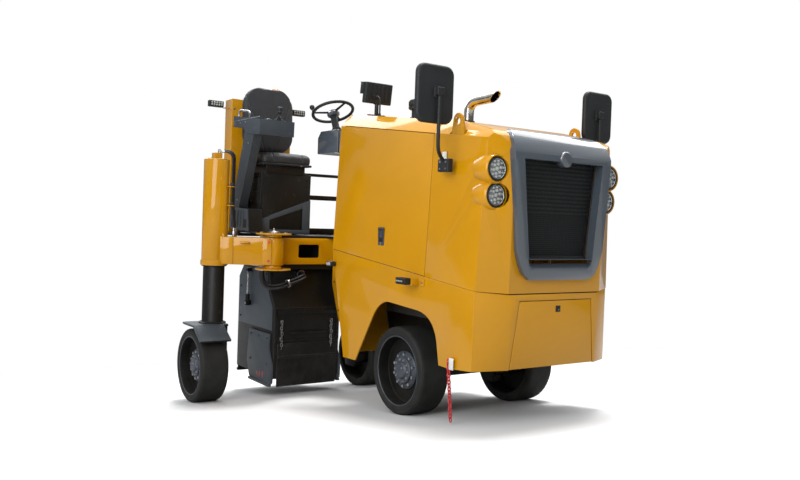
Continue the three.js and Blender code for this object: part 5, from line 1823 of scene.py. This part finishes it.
class PLANER_OT_hose_bundle(bpy.types.Operator):
    """Feed hoses sweeping from the arm's root down into the milling housing"""

    bl_idname = "planer.hose_bundle"
    bl_label = "Feed hoses"

    def execute(self, context):
        for k, (dx, dz) in enumerate(((0, 16), (-15, -9), (15, -9))):
            tube("feed_hose_%d" % (k + 1), [
                (-960 + dx, -795 + dz * 0.5, 914), (-960 + dx, -795 + dz * 0.5, 750 + dz),
                (-750 + dx, -757 + dz * 0.3, 742 + dz), (-750 + dx, -450 + dx * 0.4, 850 + dz),
                (-899, -450 + dx * 0.4, 850 + dz),
            ], 12.5, *HOSE, free=True, bend=104)
        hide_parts("hose_bundle")
        bm = bmesh.new()
        for centre, axis in (
            ((-960, -794, 890), (0, 0, 1)), ((-752, -640, 783), (0, 0.94, 0.33)),
            ((-880, -450, 852), (1, 0, 0)),
        ):
            spun(bm, [(31, -8), (37, -8), (38, 0), (37, 8), (31, 8), (31, -8)], centre, axis, 32)
        settle(bm, "feed_hose_clamps", *BRIGHT)
        return {"FINISHED"}


class PLANER_OT_red_chain(bpy.types.Operator):
    """Red chain with a bare tag hanging from the right skirt"""

    bl_idname = "planer.red_chain"
    bl_label = "Red chain"

    def execute(self, context):
        bm = bmesh.new()
        x, y, pitch = 1500.0, -616.0, 21.5
        down = Vector((math.sin(PITCH), 0, -math.cos(PITCH)))
        start = Vector((x, y, 470.0))
        for k in range(18):
            link(bm, start + down * pitch * k, -down, k % 2 == 0, 16.0, 11.0, 4.3)
        block(bm, x - 12, x + 12, y - 1, -598, 478, 492, 3, 2)
        settle(bm, "red_hanging_chain", "black_steel", "red_enamel")
        tag = bmesh.new()
        block(tag, x + 10, x + 56, y - 5, y - 1, 424, 500, 2, 2)
        settle(tag, "bare_tag", "black_plastic", "blank_white")
        return {"FINISHED"}


# ---------------------------------------------------------------- stage
class PLANER_OT_stage(bpy.types.Operator):
    """Pale floor, plain backdrop, lamps and the camera"""

    bl_idname = "planer.stage"
    bl_label = "Stage"

    camera_place = (5.42719, -3.52332, 0.81268)
    camera_turn = (145.35669747, 4.1864533, -1.83444998)
    camera_lens = 36.0

    def execute(self, context):
        scene = context.scene
        sizes = scene.planer_sizes
        scene.view_settings.view_transform = "Standard"
        self.floor()
        self.world(scene, sizes.fill_strength)
        self.lamp("key", "SUN", (-0.5, 1.3, 7.0), (0.0, 0.0, 0.9), sizes.key_strength, angle=13)
        self.lamp("front", "AREA", (3.9, -6.2, 3.0), (0.2, -0.2, 1.2), 330.0, size=4.5)
        self.lamp("back", "AREA", (-5.5, 1.2, 6.5), (-0.2, 0.0, 1.8), 260.0, size=4.5)
        self.lamp("top", "AREA", (0.2, 4.6, 6.6), (0.5, 0.0, 1.8), 150.0, size=4.0)
        self.camera(scene)
        return {"FINISHED"}

    def floor(self):
        bm = bmesh.new()
        bmesh.ops.create_circle(bm, cap_ends=True, segments=96, radius=40.0)
        mesh = meshed(bm, "floor")
        made = linked("floor", mesh)
        material = bpy.data.materials.new("pale_floor")
        material.use_nodes = True
        tree = material.node_tree
        shader = tree.nodes["Principled BSDF"]
        output = tree.nodes["Material Output"]
        place = node(tree, "ShaderNodeTexCoord").outputs["Object"]
        tone = spread(tree, noise_node(tree, place, 0.7, 2.0), 0.3, 0.7)
        base = mix_colour(tree, tone, (0.62, 0.62, 0.62, 1), (0.65, 0.65, 0.65, 1))
        path = node(tree, "ShaderNodeLightPath")
        base = mix_colour(tree, path.outputs["Is Camera Ray"], (0.36, 0.36, 0.36, 1), base)
        tree.links.new(base, shader.inputs["Base Color"])
        shader.inputs["Roughness"].default_value = 0.8
        distance = node(tree, "ShaderNodeVectorMath", operation="LENGTH")
        tree.links.new(place, distance.inputs[0])
        away = spread(tree, distance.outputs["Value"], 2.2, 6.0)
        both = math_node(tree, "MULTIPLY", away, path.outputs["Is Camera Ray"])
        white = node(tree, "ShaderNodeEmission")
        blend = node(tree, "ShaderNodeMixShader")
        tree.links.new(both, blend.inputs[0])
        tree.links.new(shader.outputs[0], blend.inputs[1])
        tree.links.new(white.outputs[0], blend.inputs[2])
        tree.links.new(blend.outputs[0], output.inputs["Surface"])
        mesh.materials.append(material)

    def world(self, scene, strength):
        world = bpy.data.worlds.new("studio")
        scene.world = world
        world.use_nodes = True
        tree = world.node_tree
        background = tree.nodes["Background"]
        background.inputs["Color"].default_value = (0.96, 0.98, 1.0, 1.0)
        heading = node(tree, "ShaderNodeSeparateXYZ")
        tree.links.new(node(tree, "ShaderNodeTexCoord").outputs["Generated"], heading.inputs[0])
        overhead = spread(tree, heading.outputs["Z"], 0.05, 0.75)
        glow = math_node(tree, "MULTIPLY_ADD", overhead, strength * 2.4)
        glow.node.inputs[2].default_value = strength * 0.5
        tree.links.new(glow, background.inputs["Strength"])
        white = node(tree, "ShaderNodeBackground")
        white.inputs["Color"].default_value = (1, 1, 1, 1)
        white.inputs["Strength"].default_value = 1.0
        blend = node(tree, "ShaderNodeMixShader")
        path = node(tree, "ShaderNodeLightPath")
        tree.links.new(path.outputs["Is Camera Ray"], blend.inputs[0])
        tree.links.new(background.outputs[0], blend.inputs[1])
        tree.links.new(white.outputs[0], blend.inputs[2])
        tree.links.new(blend.outputs[0], tree.nodes["World Output"].inputs["Surface"])

    @staticmethod
    def lamp(name, kind, place, target, power, size=1.0, angle=0.0):
        light = bpy.data.lights.new(name, kind)
        light.energy = power
        if kind == "AREA":
            light.size = size
        else:
            light.angle = math.radians(angle)
        made = linked(name, light)
        made.location = place
        aim = Vector(target) - Vector(place)
        made.rotation_euler = aim.to_track_quat("-Z", "Y").to_euler()

    def camera(self, scene):
        """A camera of a given heading, rise and roll."""
        yaw, pitch, roll = (math.radians(a) for a in self.camera_turn)
        ahead = Vector((
            math.cos(yaw) * math.cos(pitch), math.sin(yaw) * math.cos(pitch), math.sin(pitch),
        ))
        right = Vector((math.sin(yaw), -math.cos(yaw), 0.0))
        above = right.cross(ahead)
        across = right * math.cos(roll) + above * math.sin(roll)
        upward = above * math.cos(roll) - right * math.sin(roll)
        lens = bpy.data.cameras.new("camera")
        lens.lens = self.camera_lens
        lens.sensor_width = 36.0
        lens.clip_end = 200.0
        made = linked("camera", lens)
        turn = Matrix((across, upward, -ahead)).transposed().to_4x4()
        made.matrix_world = Matrix.Translation(self.camera_place) @ turn
        scene.camera = made


class PLANER_OT_finishes(bpy.types.Operator):
    """Every finish, as procedural materials"""

    bl_idname = "planer.finishes"
    bl_label = "Finishes"

    def execute(self, context):
        build_materials(context.scene.planer_paint)
        return {"FINISHED"}


OPERATORS = (
    PLANER_OT_finishes, PLANER_OT_body_panels, PLANER_OT_frame_parts, PLANER_OT_underworks,
    PLANER_OT_panel_fittings, PLANER_OT_grille, PLANER_OT_headlamps, PLANER_OT_mirrors,
    PLANER_OT_exhaust, PLANER_OT_hood_top, PLANER_OT_lifting_rings, PLANER_OT_wheels,
    PLANER_OT_steering, PLANER_OT_seat, PLANER_OT_console, PLANER_OT_pedestal,
    PLANER_OT_mast_lamps, PLANER_OT_platform, PLANER_OT_milling_housing, PLANER_OT_drum_picks,
    PLANER_OT_columns, PLANER_OT_hose_bundle, PLANER_OT_red_chain, PLANER_OT_stage,
)


class PLANER_PT_sidebar(bpy.types.Panel):
    """Lists the planer's settings and the pieces it is made of"""

    bl_label = "Cold planer"
    bl_idname = "PLANER_PT_sidebar"
    bl_space_type = "VIEW_3D"
    bl_region_type = "UI"
    bl_category = "Planer"

    def draw(self, context):
        layout = self.layout
        for group in (context.scene.planer_sizes, context.scene.planer_paint):
            box = layout.box()
            for key in group.__annotations__:
                box.prop(group, key)
        for operator in OPERATORS:
            layout.operator(operator.bl_idname)


CLASSES = (PlanerPaint, PlanerSizes, *OPERATORS, PLANER_PT_sidebar)


def register():
    for made in CLASSES:
        bpy.utils.register_class(made)
    bpy.types.Scene.planer_paint = PointerProperty(type=PlanerPaint)
    bpy.types.Scene.planer_sizes = PointerProperty(type=PlanerSizes)


def unregister():
    del bpy.types.Scene.planer_sizes
    del bpy.types.Scene.planer_paint
    for made in reversed(CLASSES):
        bpy.utils.unregister_class(made)


def main():
    register()
    for operator in OPERATORS:
        family, action = operator.bl_idname.split(".")
        getattr(getattr(bpy.ops, family), action)()


if __name__ == "__main__":
    main()
